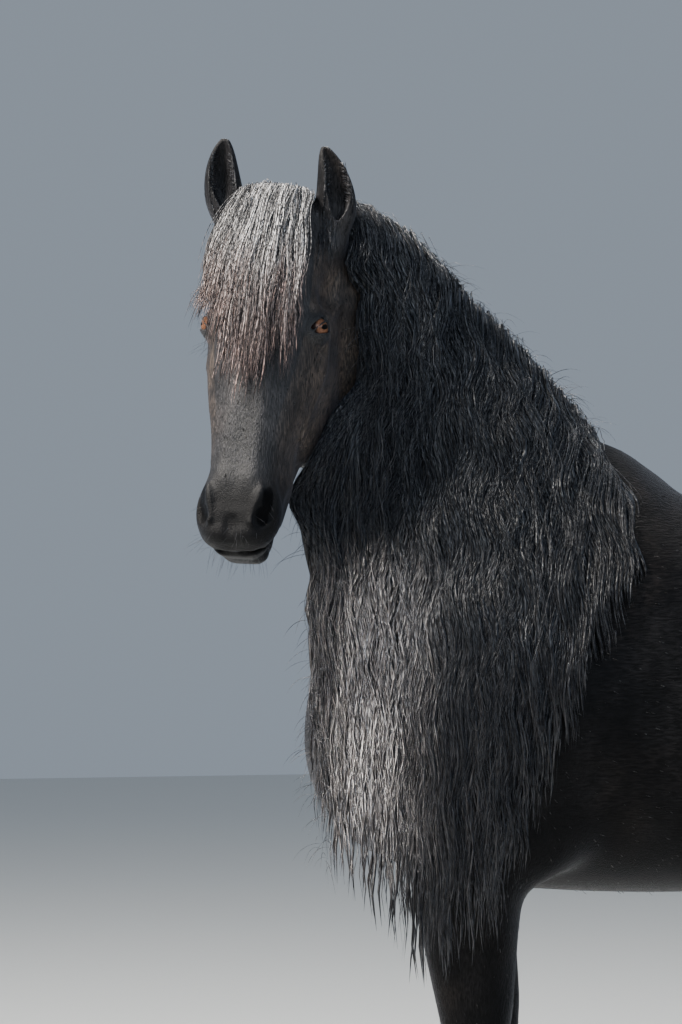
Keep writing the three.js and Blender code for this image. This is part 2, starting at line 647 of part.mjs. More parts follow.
// Feathers of one leg: locks round the back and the sides that hang over the hoof
function feathers({ rows, at, side, seed }, random = seeded(seed)) {
  const table = shifted(rows, at);
  const rowFor = (z) => {
    const i = Math.max(1, table.findIndex((row) => row[0] <= z));
    const t = clamp01((table[i - 1][0] - z) / (table[i - 1][0] - table[i][0]));
    return table[i - 1].map((value, k) => value + t * (table[i][k] - value));
  };
  const made = [];
  for (const [count, startZ, endZ, out] of [[4, 292, 84, 24], [4, 236, 40, 15], [5, 180, 26, 6]]) {
    for (let k = 0; k < count; k += 1) {
      const spread = out < 10 ? 2.6 : 2;
      const angle = spread * (-1 + (2 * (k + random(0.3, 0.7))) / count);
      const away = new THREE.Vector3(Math.sin(angle), Math.cos(angle), 0);
      const low = Math.max(FLOOR_CLEAR, endZ + random(-6, 14));
      const top = startZ - 40 * Math.abs(Math.sin(angle / 2)) + random(-8, 8);
      const points = [];
      for (let j = 0; j <= 3; j += 1) {
        const t = j / 3;
        const z = top - (top - low) * t;
        const row = rowFor(Math.max(z, 70));
        const [half, rear, fore] = [row[4], row[3] - row[2], row[2] - row[1]];
        const reach = 1 / Math.hypot(away.x / half, away.y / (away.y > 0 ? rear : fore));
        const clear = out + 46 * Math.max(0, (110 - z) / 110) + 10 * Math.sin(Math.PI * t);
        const r = j === 0 ? reach * 0.6 : reach + clear;
        points.push(new THREE.Vector3(row[5] + away.x * r, row[2] + away.y * r, z));
      }
      const across = new THREE.Vector3(Math.cos(angle), -Math.sin(angle), 0);
      made.push(lock(points, { across, out: away, width: 44, thick: 7 }));
    }
  }
  return turned(join(made), side);
}

function geometryOf(s) {
  const { vertProperties, triVerts } = s.getMesh();
  const geometry = new THREE.BufferGeometry();
  geometry.setAttribute("position", new THREE.BufferAttribute(new Float32Array(vertProperties), 3));
  return geometry.setIndex(new THREE.BufferAttribute(new Uint32Array(triVerts), 1));
}

// The solid with its vertices on a fine grid, which leaves out edges too short to keep
function welded(s) {
  for (const step of [0.002, 0.003, 0.004, 0.006, 0.01, 0.02, 0.03, 0.05, 0.08, 0.12]) {
    const snapped = geometryOf(s);
    const { array } = snapped.attributes.position;
    array.forEach((value, i) => {
      array[i] = Math.round(value / step) * step;
    });
    const merged = mergeVertices(snapped, step / 10);
    const faces = new Map();
    const index = merged.index.array;
    for (let i = 0; i < index.length; i += 3) {
      const [a, b, c] = index.slice(i, i + 3);
      if (a === b || b === c || a === c) continue;
      const key = [a, b, c].sort((m, n) => m - n).join();
      if (faces.has(key)) faces.delete(key);
      else faces.set(key, [a, b, c]);
    }
    const kept = [...faces.values()];
    const edges = new Map();
    for (const [a, b, c] of kept) {
      for (const [m, n] of [[a, b], [b, c], [c, a]]) {
        const key = Math.min(m, n) + ":" + Math.max(m, n);
        edges.set(key, (edges.get(key) ?? 0) + 1);
      }
    }
    if ([...edges.values()].every((count) => count === 2)) return solid(merged.setIndex(kept.flat()));
  }
  throw new Error("no grid closes this surface");
}

const root = new THREE.Group();
function add(name, whole, color) {
  const s = largest(welded(largest(whole)));
  const geometry = geometryOf(s);
  const made = new THREE.Mesh(geometry, new THREE.MeshStandardMaterial({ color, roughness: 0.6 }));
  made.name = name;
  root.add(made);
}

const NECK_CUT = [0, -40, 1620];
const NECK_AHEAD = [0, -0.755, 0.656];
const NECK_BEHIND = NECK_AHEAD.map((n) => -n);
const LEG_PIECES = Object.entries(LEGS);

// Everything of the body that is one flesh, the head and the tail apart
function flesh(grow = 0) {
  const neck = sweep(NECK, neckRing, 16, 1, grow);
  return join([trunk(grow), neck, ...LEG_PIECES.map(([, leg]) => legColumn(leg, grow))]);
}

const whole = flesh();
const headLocks = moved(join(forelock()), headMatrix);
const placedHead = moved(headFlesh(), headMatrix);
const headAround = moved(headFlesh(GAP), headMatrix);
const drape = drapeOver(whole);
const half = new THREE.BoxGeometry(4000, 2000, 4000);
const behindPoll = moved(solid(half.clone().translate(0, 1000 + MANE_STARTS + GAP, 0)), headMatrix);
const aheadPoll = moved(solid(half.clone().translate(0, MANE_STARTS - 1000, 0)), headMatrix);
const around = beyond(flesh(GAP), NECK_CUT, NECK_BEHIND, -GAP / 2);
const earLeft = moved(ear(EARS[0]), headMatrix);
const earRight = moved(mirrored(ear(EARS[1])), headMatrix);
const ears = earLeft.add(earRight);

const aboveLegs = beyond(whole, [0, 0, LEG_CUT_Z], [0, 0, 1]);
const ahead = beyond(aboveLegs, NECK_CUT, NECK_AHEAD);
const maneLocks = join(mane(drape)).subtract(around).intersect(behindPoll);
add("torso", largest(beyond(aboveLegs, NECK_CUT, NECK_BEHIND)), COLOR.coat);
add("neck", largest(ahead.add(maneLocks).subtract(headAround).subtract(ears)), COLOR.coat);

const socket = ball(EYE_AT, Array(3).fill(EYE_RADIUS + GAP), [0, 0, 0], 14);
const eyesAround = moved(bothSides(socket), headMatrix);
const combed = headLocks.intersect(aheadPoll).subtract(eyesAround);
const headSolid = largest(placedHead.subtract(moved(headOpenings(), headMatrix)).add(combed));
add("head", headSolid, COLOR.coat);
add("ear_left", largest(earLeft.subtract(headAround).subtract(headSolid)), COLOR.coat);
add("ear_right", largest(earRight.subtract(headAround).subtract(headSolid)), COLOR.coat);
const eyeball = ball(EYE_AT, Array(3).fill(EYE_RADIUS), [0, 0, 0], 14);
add("eye_left", moved(eyeball, headMatrix), COLOR.eye);
add("eye_right", moved(mirrored(eyeball), headMatrix), COLOR.eye);

const { dock, locks } = tail();
add("tail", largest(dock.add(join(locks)).subtract(flesh(GAP))), COLOR.hair);

for (const [name, leg] of LEG_PIECES) {
  const column = beyond(legColumn(leg), [0, 0, LEG_CUT_Z], [0, 0, -1]);
  add(name, beyond(column, [0, 0, FETLOCK_CUT_Z], [0, 0, 1]), COLOR.coat);
  const lower = column.add(feathers(leg).subtract(hoofBlock(leg, GAP)));
  add(name + "_fetlock", beyond(lower, [0, 0, FETLOCK_CUT_Z], [0, 0, -1]), COLOR.hair);
  add(name + "_hoof", hoofBlock(leg), COLOR.hoof);
}

const box = new THREE.Box3().setFromObject(root);
const middle = box.getCenter(new THREE.Vector3());
root.position.set(-middle.x, -middle.y, -box.min.z);

export default root;
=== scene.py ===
"""A Friesian horse at life size, standing, its head turned to its left, its long mane on that side.

The horse is modelled in millimetres, as it stands: it faces -Y, its left side is +X, and y is counted
from the top of the withers. The head has a frame of its own, hanging straight down from the poll with
the face to -Y. Every mesh goes to the part's frame, in metres, only when its object is made.
"""

import math

import bmesh
import bpy
import numpy as np
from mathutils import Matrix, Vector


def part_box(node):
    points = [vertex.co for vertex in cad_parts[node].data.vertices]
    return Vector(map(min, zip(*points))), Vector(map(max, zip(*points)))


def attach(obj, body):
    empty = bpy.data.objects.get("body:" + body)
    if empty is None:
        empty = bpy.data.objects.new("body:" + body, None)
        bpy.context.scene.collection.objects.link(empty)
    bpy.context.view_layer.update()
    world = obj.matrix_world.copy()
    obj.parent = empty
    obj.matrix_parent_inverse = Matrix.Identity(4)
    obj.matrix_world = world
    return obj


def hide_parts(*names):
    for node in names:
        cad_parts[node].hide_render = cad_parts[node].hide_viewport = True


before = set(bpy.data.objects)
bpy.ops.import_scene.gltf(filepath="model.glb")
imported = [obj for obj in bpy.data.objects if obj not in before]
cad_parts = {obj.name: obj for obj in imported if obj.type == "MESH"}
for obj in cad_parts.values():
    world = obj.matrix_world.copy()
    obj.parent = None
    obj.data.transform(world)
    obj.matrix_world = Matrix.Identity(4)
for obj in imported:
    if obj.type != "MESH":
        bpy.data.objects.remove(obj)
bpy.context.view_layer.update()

import openvdb
from mathutils import Euler, Matrix, Vector

# Driving sizes, as in the solids
POLL = (118, -627, 2023)
HEAD_YAW, HEAD_PITCH, HEAD_ROLL = 63, 18.5, 2.8
NEAR_FORELEG_Y, FAR_FORELEG_Y, FAR_FORELEG_BACK = -283, -232, 105
NEAR_HIND_FORWARD, FAR_HIND_BACK = 70, 25
EYE_RADIUS = 22
EYE_AT = (88, 43, -223)
EYE_LOOKS = (0.88, -0.47, 0.05)
EYE_OPENING = (20, 8)
LID_SHIFT = 2  # how far the opening lies towards the outer corner
# The left and the right ear: degrees turned outwards, how far the tip leans outwards, length
EARS = {1: (27, 0, 152), -1: (-10, 28, 163)}
BODY_INSET, HEAD_INSET = 4, 2  # the coat's depth over the skin
BODY_VOXEL, HEAD_VOXEL = 9, 2.2  # how fine the skin is worked out
HEAD_SHARE = 0.4  # of the head's triangles that are kept
SKIN_CUT, SKIN_CUT_AHEAD = (14, -440, 1745), (0.1, -0.974, 0.225)  # where the skin's two meshes meet
SKIN_GAP = 0.004  # metres, on each side of the cut, which one row of faces closes
FACE_FLATNESS = 0.82
FLOOR_CLEAR = 18

BAKE_PATCH = 0.003  # the size of a strand's patch on the bake map
MANE_FRIZZ = 420  # loose hairs on the crest, and as many at the mane's front
EAR_FRINGE, EAR_TUFT = 420, 70  # hairs on the rim of an ear, and at its base
WHISKER_SEED, EAR_SEED = 4104, 4105
# Where feelers grow: centre in the head's frame, spread, way, number
WHISKERS = [
    ((24, 84, -612), (16, 14, 6), (0.2, -0.1, -1), 40),
    ((52, 50, -575), (6, 18, 20), (0.9, -0.2, -0.5), 30),
    ((20, 22, -590), (14, 6, 12), (0.3, -0.7, -0.8), 20),
    ((98, 46, -262), (6, 8, 8), (0.8, -0.4, -0.7), 16),
]
COAT_PIECE_TRIANGLES = 190000  # a piece of hair with more is split
TUFTS, TUFT_SEED = 8000, 4106
TUFT_LENGTHS = (7, 14)

# Where the mane ends: share along the crest, height of the tips, y of the tips
MANE_ENDS = [
    (0, 1000, -562),
    (0.1, 900, -538),
    (0.22, 850, -500),
    (0.36, 735, -420),
    (0.5, 730, -365),
    (0.64, 800, -285),
    (0.76, 1000, -205),
    (0.87, 1200, -130),
    (0.95, 1330, -60),
    (1, 1400, -20),
]
MANE_SEED, FORELOCK_SEED, TAIL_SEED = 4101, 4102, 4103
MANE_WAVE = 14  # how far the waves of the mane swing
# Layers of the mane: locks, lift off the neck, half a ribbon's width, stations, fine hairs to each lock
MANE_LAYERS = [(110, 6, 8, 26, 0), (150, 14, 4.5, 36, 3), (230, 22, 2.8, 36, 8)]
# Where the forelock ends: share across, x at the tips, how far they hang below the poll
FORELOCK_ENDS = [
    (0, -130, 236),
    (0.15, -104, 248),
    (0.3, -66, 300),
    (0.45, -34, 375),
    (0.58, -12, 422),
    (0.68, 2, 410),
    (0.8, 24, 372),
    (0.9, 48, 340),
    (1, 72, 312),
]
FORELOCK_LAYERS = [(60, 4, 3.4, 6), (70, 9, 1.8, 11), (80, 13, 1.0, 15)]
# Layers of the tail: locks, lift off its middle, where they start, half width, fine hairs to each
TAIL_LAYERS = [(50, 20, 0.24, 10, 0), (80, 46, 0.16, 9, 3), (110, 70, 0.11, 8, 6)]
# Layers of the feathers: locks, top, lower end, lift, half width, how far round, fine hairs to each
FEATHER_LAYERS = [(46, 230, 26, 5, 5, 2.7, 4), (50, 262, 40, 12, 4.5, 2.2, 5), (44, 300, 84, 18, 4, 1.9, 6)]
FEATHER_FLOOR = 8  # the lowest place that a loose hair reaches
FEATHER_SEEDS = {"fore_left": 4201, "fore_right": 4202, "hind_left": 4203, "hind_right": 4204}

COAT_DARK, COAT_MIDDLE = (0.005, 0.005, 0.0056), (0.009, 0.0085, 0.009)
COAT_BROWN = (0.022, 0.0168, 0.013)
MUZZLE_GREY = (0.0125, 0.0122, 0.013)
# The mane's light strands: dark grey hair, lightened further as painted glints
MANE_DARK, MANE_GREY_AND_GLINT = (0.005, 0.0055, 0.0065), (0.06, 0.056, 0.056)
# The forelock's light strands are near white: painted glints of sun on them
FORELOCK_DARK, FORELOCK_GLINT = (0.009, 0.0085, 0.0085), (0.78, 0.75, 0.73)
FORELOCK_TIPS, MANE_TIPS = (0.62, 0.43, 0.38), (1.1, 1.0, 0.95)
EYE_BROWN, EYE_AMBER = (0.06, 0.024, 0.012), (0.24, 0.11, 0.06)

CAMERA_AZIMUTH, CAMERA_TARGET, CAMERA_DISTANCE, CAMERA_LENS = 78, (0, -490, 1490), 6190, 126.6
FLOOR_REACH, FLOOR_COLOR = 14.0, (0.62, 0.63, 0.62, 1)
WORLD_COLOR, WORLD_STRENGTH = (0.72, 0.84, 1.0), 0.36
# Lights: azimuth, height, distance, size, power, color, all aimed at one place
LIT_MIDDLE = (0, -250, 1500)
LIGHTS = {
    "key": (14, 44, 5.0, 0.7, 820, (1.0, 0.95, 0.88)),
    "fill": (100, 30, 6.0, 3.0, 190, (0.74, 0.85, 1.0)),
    "rear": (262, 58, 5.0, 1.2, 320, (1.0, 0.97, 0.92)),
}
# The patch of sun on the front of the mane: azimuth, height, distance, cone, power, color, its x and y
SUN_PATCH = (46, 6, 4.0, 3.6, 6200, (1.0, 0.93, 0.85), (200, -492))
SUN_HEIGHTS = (1320, 1200, 1080, 960)

# Sections of the trunk: y, top, widest height, bottom, half width, power of the top, of the bottom
TRUNK = [
    (-538, 1180, 1110, 1040, 62, 1, 1),
    (-520, 1260, 1115, 985, 128, 1, 1),
    (-470, 1340, 1120, 925, 196, 1, 1),
    (-390, 1420, 1130, 880, 232, 1, 1),
    (-290, 1490, 1140, 852, 250, 1.1, 1),
    (-180, 1550, 1150, 836, 258, 1.25, 0.95),
    (-80, 1592, 1160, 828, 264, 1.45, 0.9),
    (0, 1600, 1165, 824, 272, 1.5, 0.9),
    (70, 1556, 1165, 822, 282, 1.35, 0.9),
    (140, 1516, 1160, 822, 292, 1.1, 0.9),
    (240, 1492, 1150, 820, 304, 0.95, 0.9),
    (370, 1486, 1145, 822, 314, 0.86, 0.9),
    (500, 1497, 1150, 832, 316, 0.82, 0.92),
    (620, 1518, 1165, 856, 306, 0.82, 0.95),
    (740, 1546, 1195, 892, 298, 0.84, 1),
    (850, 1560, 1220, 925, 292, 0.86, 1),
    (950, 1548, 1230, 950, 282, 0.9, 1),
    (1040, 1502, 1225, 975, 258, 0.95, 1),
    (1105, 1440, 1220, 1010, 205, 1, 1),
    (1135, 1370, 1220, 1070, 120, 1, 1),
]

# Sections of the neck: crest y and z, underside y and z, half width, x, yaw, power of the crest
NECK = [
    (60, 1536, -430, 940, 165, 0, 0, 1.3),
    (-20, 1592, -478, 1040, 172, 0, 0, 1.3),
    (-62, 1636, -508, 1130, 166, 0, 0, 1.3),
    (-112, 1692, -506, 1240, 150, 0, 0, 1.3),
    (-178, 1764, -498, 1350, 134, 0, 3, 1.25),
    (-250, 1832, -494, 1450, 120, 3, 9, 1.2),
    (-326, 1900, -500, 1545, 109, 9, 16, 1.15),
    (-404, 1960, -520, 1635, 99, 20, 25, 1.1),
    (-482, 2000, -548, 1712, 92, 38, 35, 1),
    (-556, 2012, -584, 1790, 80, 62, 44, 1),
]

# Sections of the skull and of the lower jaw: height, front, widest, back, half width, x, lean
SKULL = [
    (26, 44, 68, 100, 30, 0, 0),
    (14, 14, 66, 126, 56, 0, 0),
    (-20, -4, 62, 155, 74, 0, 0),
    (-65, -14, 70, 178, 88, 0, 0),
    (-115, -20, 88, 195, 98, 0, 0),
    (-165, -22, 98, 204, 103, 0, 0),
    (-215, -18, 102, 204, 104, 0, 0),
    (-265, -10, 98, 194, 105, 0, 0),
    (-315, -4, 88, 178, 98, 0, 0),
    (-370, 0, 78, 160, 85, 0, 0),
    (-430, 4, 70, 144, 71, 0, 0),
    (-490, 6, 64, 132, 61, 0, 0),
    (-540, 8, 62, 124, 62, 0, 0),
    (-575, 18, 66, 118, 59, 0, 0),
    (-602, 36, 72, 110, 48, 0, 0),
    (-617, 62, 82, 98, 26, 0, 0),
]
JAW = [
    (-40, 130, 150, 172, 44, 0, 0),
    (-75, 100, 160, 218, 62, 0, 0),
    (-125, 90, 170, 254, 72, 0, 0),
    (-180, 90, 175, 270, 74, 0, 0),
    (-240, 90, 170, 260, 68, 0, 0),
    (-300, 90, 160, 240, 72, 0, 0),
    (-370, 90, 148, 208, 76, 0, 0),
    (-440, 90, 138, 176, 64, 0, 0),
    (-505, 90, 132, 156, 50, 0, 0),
    (-550, 92, 132, 160, 42, 0, 0),
    (-585, 96, 128, 156, 39, 0, 0),
    (-608, 104, 122, 138, 24, 0, 0),
]

# Sections of the legs: height, front, widest, back, half width, x, lean
FORELEG = [
    (1040, -70, 10, 100, 60, 140, 0),
    (980, -100, 10, 122, 76, 150, 0),
    (920, -104, 0, 112, 78, 156, 0),
    (860, -106, -8, 82, 72, 157, 0),
    (790, -92, -6, 72, 64, 154, 0),
    (710, -78, -4, 68, 56, 149, 0),
    (630, -60, -1, 62, 50, 145, 0),
    (570, -53, -1, 52, 45, 143, 0),
    (528, -53, -2, 50, 46, 142, 0),
    (488, -57, -3, 54, 52, 141, 0),
    (448, -54, -3, 48, 51, 140, 0),
    (412, -42, 2, 43, 42, 140, 0),
    (372, -34, 4, 42, 33, 140, 0),
    (300, -32, 4, 42, 30, 140, 0),
    (235, -33, 4, 43, 32, 140, 0),
    (205, -38, 4, 47, 37, 140, 0),
    (178, -42, 2, 49, 40, 140, 0.05),
    (152, -52, -8, 40, 39, 140, 0.12),
    (124, -68, -24, 24, 38, 140, 0.2),
    (96, -84, -40, 8, 43, 140, 0.26),
    (64, -102, -52, -3, 51, 140, 0.28),
]
FORE_HOOF = [
    (63.6, -104, -52, -1, 53, 140, 0.28),
    (28, -134, -66, -2, 62, 140, 0.12),
    (0, -158, -76, -4, 69, 140, 0),
]
HINDLEG = [
    (1360, 800, 930, 1050, 70, 140, 0),
    (1270, 742, 920, 1098, 116, 158, 0),
    (1180, 712, 915, 1124, 134, 160, 0),
    (1090, 698, 905, 1122, 130, 158, 0),
    (1010, 704, 890, 1096, 116, 155, 0),
    (940, 734, 895, 1062, 99, 151, 0),
    (870, 786, 915, 1044, 83, 147, 0),
    (805, 840, 935, 1042, 70, 143, 0),
    (745, 890, 960, 1056, 59, 139, 0),
    (695, 930, 985, 1076, 52, 137, 0),
    (655, 960, 1010, 1100, 48, 136, 0),
    (620, 982, 1035, 1118, 48, 135, 0),
    (585, 998, 1052, 1120, 51, 135, 0),
    (545, 1008, 1058, 1114, 50, 134, 0),
    (502, 1020, 1064, 1109, 43, 133, 0),
    (458, 1029, 1068, 1107, 36, 132, 0),
    (390, 1034, 1070, 1106, 33, 132, 0),
    (305, 1034, 1071, 1107, 32, 132, 0),
    (245, 1032, 1071, 1109, 34, 132, 0),
    (212, 1026, 1070, 1113, 40, 132, 0),
    (184, 1020, 1066, 1112, 41, 132, 0.05),
    (156, 1008, 1054, 1102, 39, 132, 0.12),
    (126, 992, 1038, 1086, 38, 132, 0.2),
    (97, 974, 1022, 1070, 42, 132, 0.26),
    (64, 958, 1008, 1056, 50, 132, 0.28),
]
HIND_HOOF = [
    (63.6, 956, 1008, 1058, 52, 132, 0.28),
    (28, 928, 994, 1057, 59, 132, 0.12),
    (0, 906, 984, 1055, 65, 132, 0),
]


def clamp01(t):
    return np.clip(t, 0.0, 1.0)


def smooth(t):
    return t * t * (3 - 2 * t)


def columns_at(table, places):
    """A table's other columns at places along its first, in straight lines between the rows."""
    table = np.array(table, float)
    return [np.interp(places, table[:, 0], column) for column in table[:, 1:].T]


def rows_at(rows, u):
    """Catmull-Rom through the rows of a table, at each row number of u."""
    rows = np.asarray(rows, float)
    last = len(rows) - 1
    i = np.clip(np.floor(u).astype(int), 0, last - 1)
    t = (u - i)[:, None]
    a, b, c, d = (rows[np.clip(i + k, 0, last)] for k in (-1, 0, 1, 2))
    bend = 2 * a - 5 * b + 4 * c - d
    twist = 3 * (b - c) + d - a
    return b + 0.5 * t * (c - a + t * (bend + t * twist))


def rings(centre, side, up, reach_up, reach_down, half, sides, power_up=1.0, power_down=1.0):
    """Closed sections round each centre, one ring of points for each."""
    angle = 2 * np.pi * (np.arange(sides) + 0.5) / sides
    c, s = np.cos(angle), np.sin(angle)
    upper = c > 0
    power = np.where(upper, np.reshape(power_up, (-1, 1)), np.reshape(power_down, (-1, 1)))
    wide = np.sign(s) * np.abs(s) ** power * np.reshape(half, (-1, 1))
    high = np.where(upper, np.reshape(reach_up, (-1, 1)), np.reshape(reach_down, (-1, 1))) * c
    return centre[:, None] + side[:, None] * wide[..., None] + up[:, None] * high[..., None]


def trunk_rings(rows, sides):
    y, top, wide, bottom, half, power_up, power_down = rows.T
    centre = np.stack([0 * y, y, wide], 1)
    side, up = np.tile([1.0, 0, 0], (len(y), 1)), np.tile([0, 0, 1.0], (len(y), 1))
    return rings(centre, side, up, top - wide, wide - bottom, half, sides, power_up, power_down)


def column_rings(rows, sides, power=1.0):
    z, front, wide, back, half, x, lean = rows.T
    centre = np.stack([x, wide, z], 1)
    side = np.tile([1.0, 0, 0], (len(z), 1))
    up = np.stack([0 * z, 0 * z - 1, lean], 1)
    return rings(centre, side, up, wide - front, back - wide, half, sides, power)


def skull_rings(rows, sides):
    return column_rings(rows, sides, FACE_FLATNESS)


def neck_rings(rows, sides):
    y_top, z_top, y_low, z_low, half, x, yaw, power_up = rows.T
    turn = np.radians(yaw)
    side = np.stack([np.cos(turn), np.sin(turn), 0 * turn], 1)
    rear = np.stack([-np.sin(turn), np.cos(turn), 0 * turn], 1)
    reach = np.hypot(y_top - y_low, z_top - z_low) / 2
    up = rear * ((y_top - y_low) / 2 / reach)[:, None]
    up[:, 2] += (z_top - z_low) / 2 / reach
    centre = np.stack([x, (y_top + y_low) / 2, (z_top + z_low) / 2], 1)
    return rings(centre, side, up, reach, reach, half, sides, power_up)


def loft(points):
    """Vertices, quads and triangles of a closed mesh through rings, its ends closed by fans."""
    count, sides = points.shape[:2]
    k = np.arange(sides)
    start = np.arange(count - 1)[:, None] * sides
    a, b = start + k, start + (k + 1) % sides
    quads = np.stack([a, b, b + sides, a + sides], -1).reshape(-1, 4)
    verts = np.concatenate([points.reshape(-1, 3), points[[0, -1]].mean(1)])
    low, high = len(verts) - 2, len(verts) - 1
    first, last = k, (count - 1) * sides + k
    fans = [np.stack([np.full(sides, low), np.roll(first, -1), first], 1)]
    fans.append(np.stack([np.full(sides, high), last, np.roll(last, -1)], 1))
    return verts, quads, np.concatenate(fans)


def sweep(rows, section_rings, sides):
    """A closed mesh through the sections of a table, with six steps from each to the next."""
    last = len(rows) - 1
    return loft(section_rings(rows_at(rows, np.linspace(0, last, 6 * last + 1)), sides))


def mirror(mesh):
    return mesh[0] * [-1, 1, 1], mesh[1][:, ::-1], mesh[2][:, ::-1]


def moved(mesh, matrix):
    return apply(matrix, mesh[0]), mesh[1], mesh[2]


def apply(matrix, points):
    m = np.array(matrix)
    return points @ m[:3, :3].T + m[:3, 3]


def shifted(rows, at):
    """A leg's table with each section moved along y by at(height)."""
    rows = np.array(rows, float)
    rows[:, 1:4] += at(rows[:, 0])[:, None]
    return rows


class Clay:
    """A block of signed distances, in which shapes are joined, blended and carved."""

    def __init__(self, low, high, voxel, band):
        self.low, self.voxel, self.band = np.array(low, float), voxel, band
        shape = np.ceil((np.array(high) - low) / voxel).astype(int) + 1
        self.field = np.full(shape, float(band * voxel), np.float32)

    def mesh_distance(self, mesh):
        verts, quads, triangles = mesh
        grid = openvdb.FloatGrid.createLevelSetFromPolygons(
            (verts - self.low).astype(np.float32),
            triangles=triangles.astype(np.uint32),
            quads=quads.astype(np.uint32),
            transform=openvdb.createLinearTransform(voxelSize=self.voxel),
            halfWidth=self.band,
        )
        block = np.empty_like(self.field)
        grid.copyToArray(block)
        return block

    def window(self, low, high):
        """The part of the block between two corners, and where its points are."""
        a = np.clip(np.floor((low - self.low) / self.voxel).astype(int), 0, self.field.shape)
        b = np.clip(np.ceil((high - self.low) / self.voxel).astype(int) + 1, 0, self.field.shape)
        part = tuple(slice(i, j) for i, j in zip(a, b))
        grids = [self.low[k] + self.voxel * np.arange(a[k], b[k]) for k in range(3)]
        return part, np.stack(np.meshgrid(*grids, indexing="ij"), -1)

    def join(self, mesh, blend):
        self.field = soft_min(self.field, self.mesh_distance(mesh), blend)

    def cut(self, mesh, blend):
        self.field = -soft_min(-self.field, self.mesh_distance(mesh), blend)

    def ball(self, centre, radii, turn=(0, 0, 0), blend=10.0, carve=False):
        radii = np.array(radii, float)
        reach = radii.max() + blend + 2 * self.voxel
        part, p = self.window(np.array(centre) - reach, np.array(centre) + reach)
        spin = np.array(Euler([math.radians(v) for v in turn], "XYZ").to_matrix())
        q = (p - centre) @ spin
        near = np.linalg.norm(q / radii, axis=-1)
        slope = np.linalg.norm(q / radii**2, axis=-1) + 1e-9
        least = np.maximum(np.linalg.norm(q, axis=-1) - radii.max(), (np.abs(q) - radii).max(-1))
        self.merge(part, np.maximum(near * (near - 1) / slope, least), blend, carve)

    def rod(self, a, b, radius_a, radius_b, blend=10.0, carve=False):
        """A capsule that tapers from a to b."""
        a, b = np.array(a, float), np.array(b, float)
        reach = max(radius_a, radius_b) + blend + 2 * self.voxel
        part, p = self.window(np.minimum(a, b) - reach, np.maximum(a, b) + reach)
        axis = b - a
        t = clamp01((p - a) @ axis / (axis @ axis))
        gap = np.linalg.norm(p - a - t[..., None] * axis, axis=-1)
        self.merge(part, gap - radius_a - t * (radius_b - radius_a), blend, carve)

    def merge(self, part, distance, blend, carve):
        if carve:
            self.field[part] = -soft_min(-self.field[part], distance, blend)
        else:
            self.field[part] = soft_min(self.field[part], distance, blend)

    def soften(self, rounds):
        for _ in range(rounds):
            for axis in range(3):
                f = self.field
                self.field = (np.roll(f, 1, axis) + 2 * f + np.roll(f, -1, axis)) / 4

    def surface(self, inset):
        grid = openvdb.FloatGrid(float(self.band * self.voxel))
        grid.copyFromArray(self.field)
        grid.transform = openvdb.createLinearTransform(voxelSize=self.voxel)
        grid.gridClass = openvdb.GridClass.LEVEL_SET
        points, quads = grid.convertToQuads(-inset)
        return points + self.low, quads[:, ::-1].astype(int)

    def distance(self, points):
        """Distances at points, by the nearest eight of the block."""
        q = np.clip((points - self.low) / self.voxel, 0, np.array(self.field.shape) - 1.001)
        i = q.astype(int)
        f = q - i
        total = 0
        for corner in np.ndindex((2, 2, 2)):
            weight = np.prod(np.where(corner, f, 1 - f), axis=-1)
            j = i + corner
            total = total + weight * self.field[j[..., 0], j[..., 1], j[..., 2]]
        return total

    def push_out(self, points, clear):
        """Points nearer to the flesh than clear, moved off it."""
        gap = self.distance(points)
        steps = self.voxel * np.eye(3)
        slope = np.stack([self.distance(points + e) - self.distance(points - e) for e in steps], -1)
        slope /= np.linalg.norm(slope, axis=-1, keepdims=True) + 1e-6
        return points + slope * np.maximum(clear - gap, 0)[..., None]


def soft_min(a, b, blend):
    low = np.minimum(a, b)
    if blend <= 0:
        return low
    h = np.maximum(blend - np.abs(a - b), 0) / blend
    return low - h * h * blend / 4


# The horse in its pose
def degrees_turn(angle, axis):
    return Matrix.Rotation(math.radians(angle), 4, axis)


HEAD = (
    Matrix.Translation(POLL) @ degrees_turn(HEAD_YAW, "Z")
    @ degrees_turn(-HEAD_PITCH, "X") @ degrees_turn(HEAD_ROLL, "Y")
)
HEAD_ACROSS = np.array(HEAD)[:3, 0]
eye_low, eye_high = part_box("eye_left")
SHIFT_Y = 500 * (eye_low.y + eye_high.y) - (HEAD @ Vector(EYE_AT)).y
TO_PART = Matrix.Scale(0.001, 4) @ Matrix.Translation((0, SHIFT_Y, 0))


def fore_shift(y, back):
    """How far along y a foreleg stands at each height, its hoof further back."""
    return lambda z: y + back * clamp01((950 - z) / 850)


def hind_shift(back):
    return lambda z: back * smooth(clamp01((1150 - z) / 1050))


# Each leg: its sections, its hoof, its side and how it is shifted
LEGS = {
    "fore_left": (FORELEG, FORE_HOOF, 1, fore_shift(NEAR_FORELEG_Y, 0)),
    "fore_right": (FORELEG, FORE_HOOF, -1, fore_shift(FAR_FORELEG_Y, FAR_FORELEG_BACK)),
    "hind_left": (HINDLEG, HIND_HOOF, 1, hind_shift(-NEAR_HIND_FORWARD)),
    "hind_right": (HINDLEG, HIND_HOOF, -1, hind_shift(FAR_HIND_BACK)),
}


def leg_mesh(name):
    rows, _, side, at = LEGS[name]
    mesh = sweep(shifted(rows, at), column_rings, 36)
    return mesh if side > 0 else mirror(mesh)



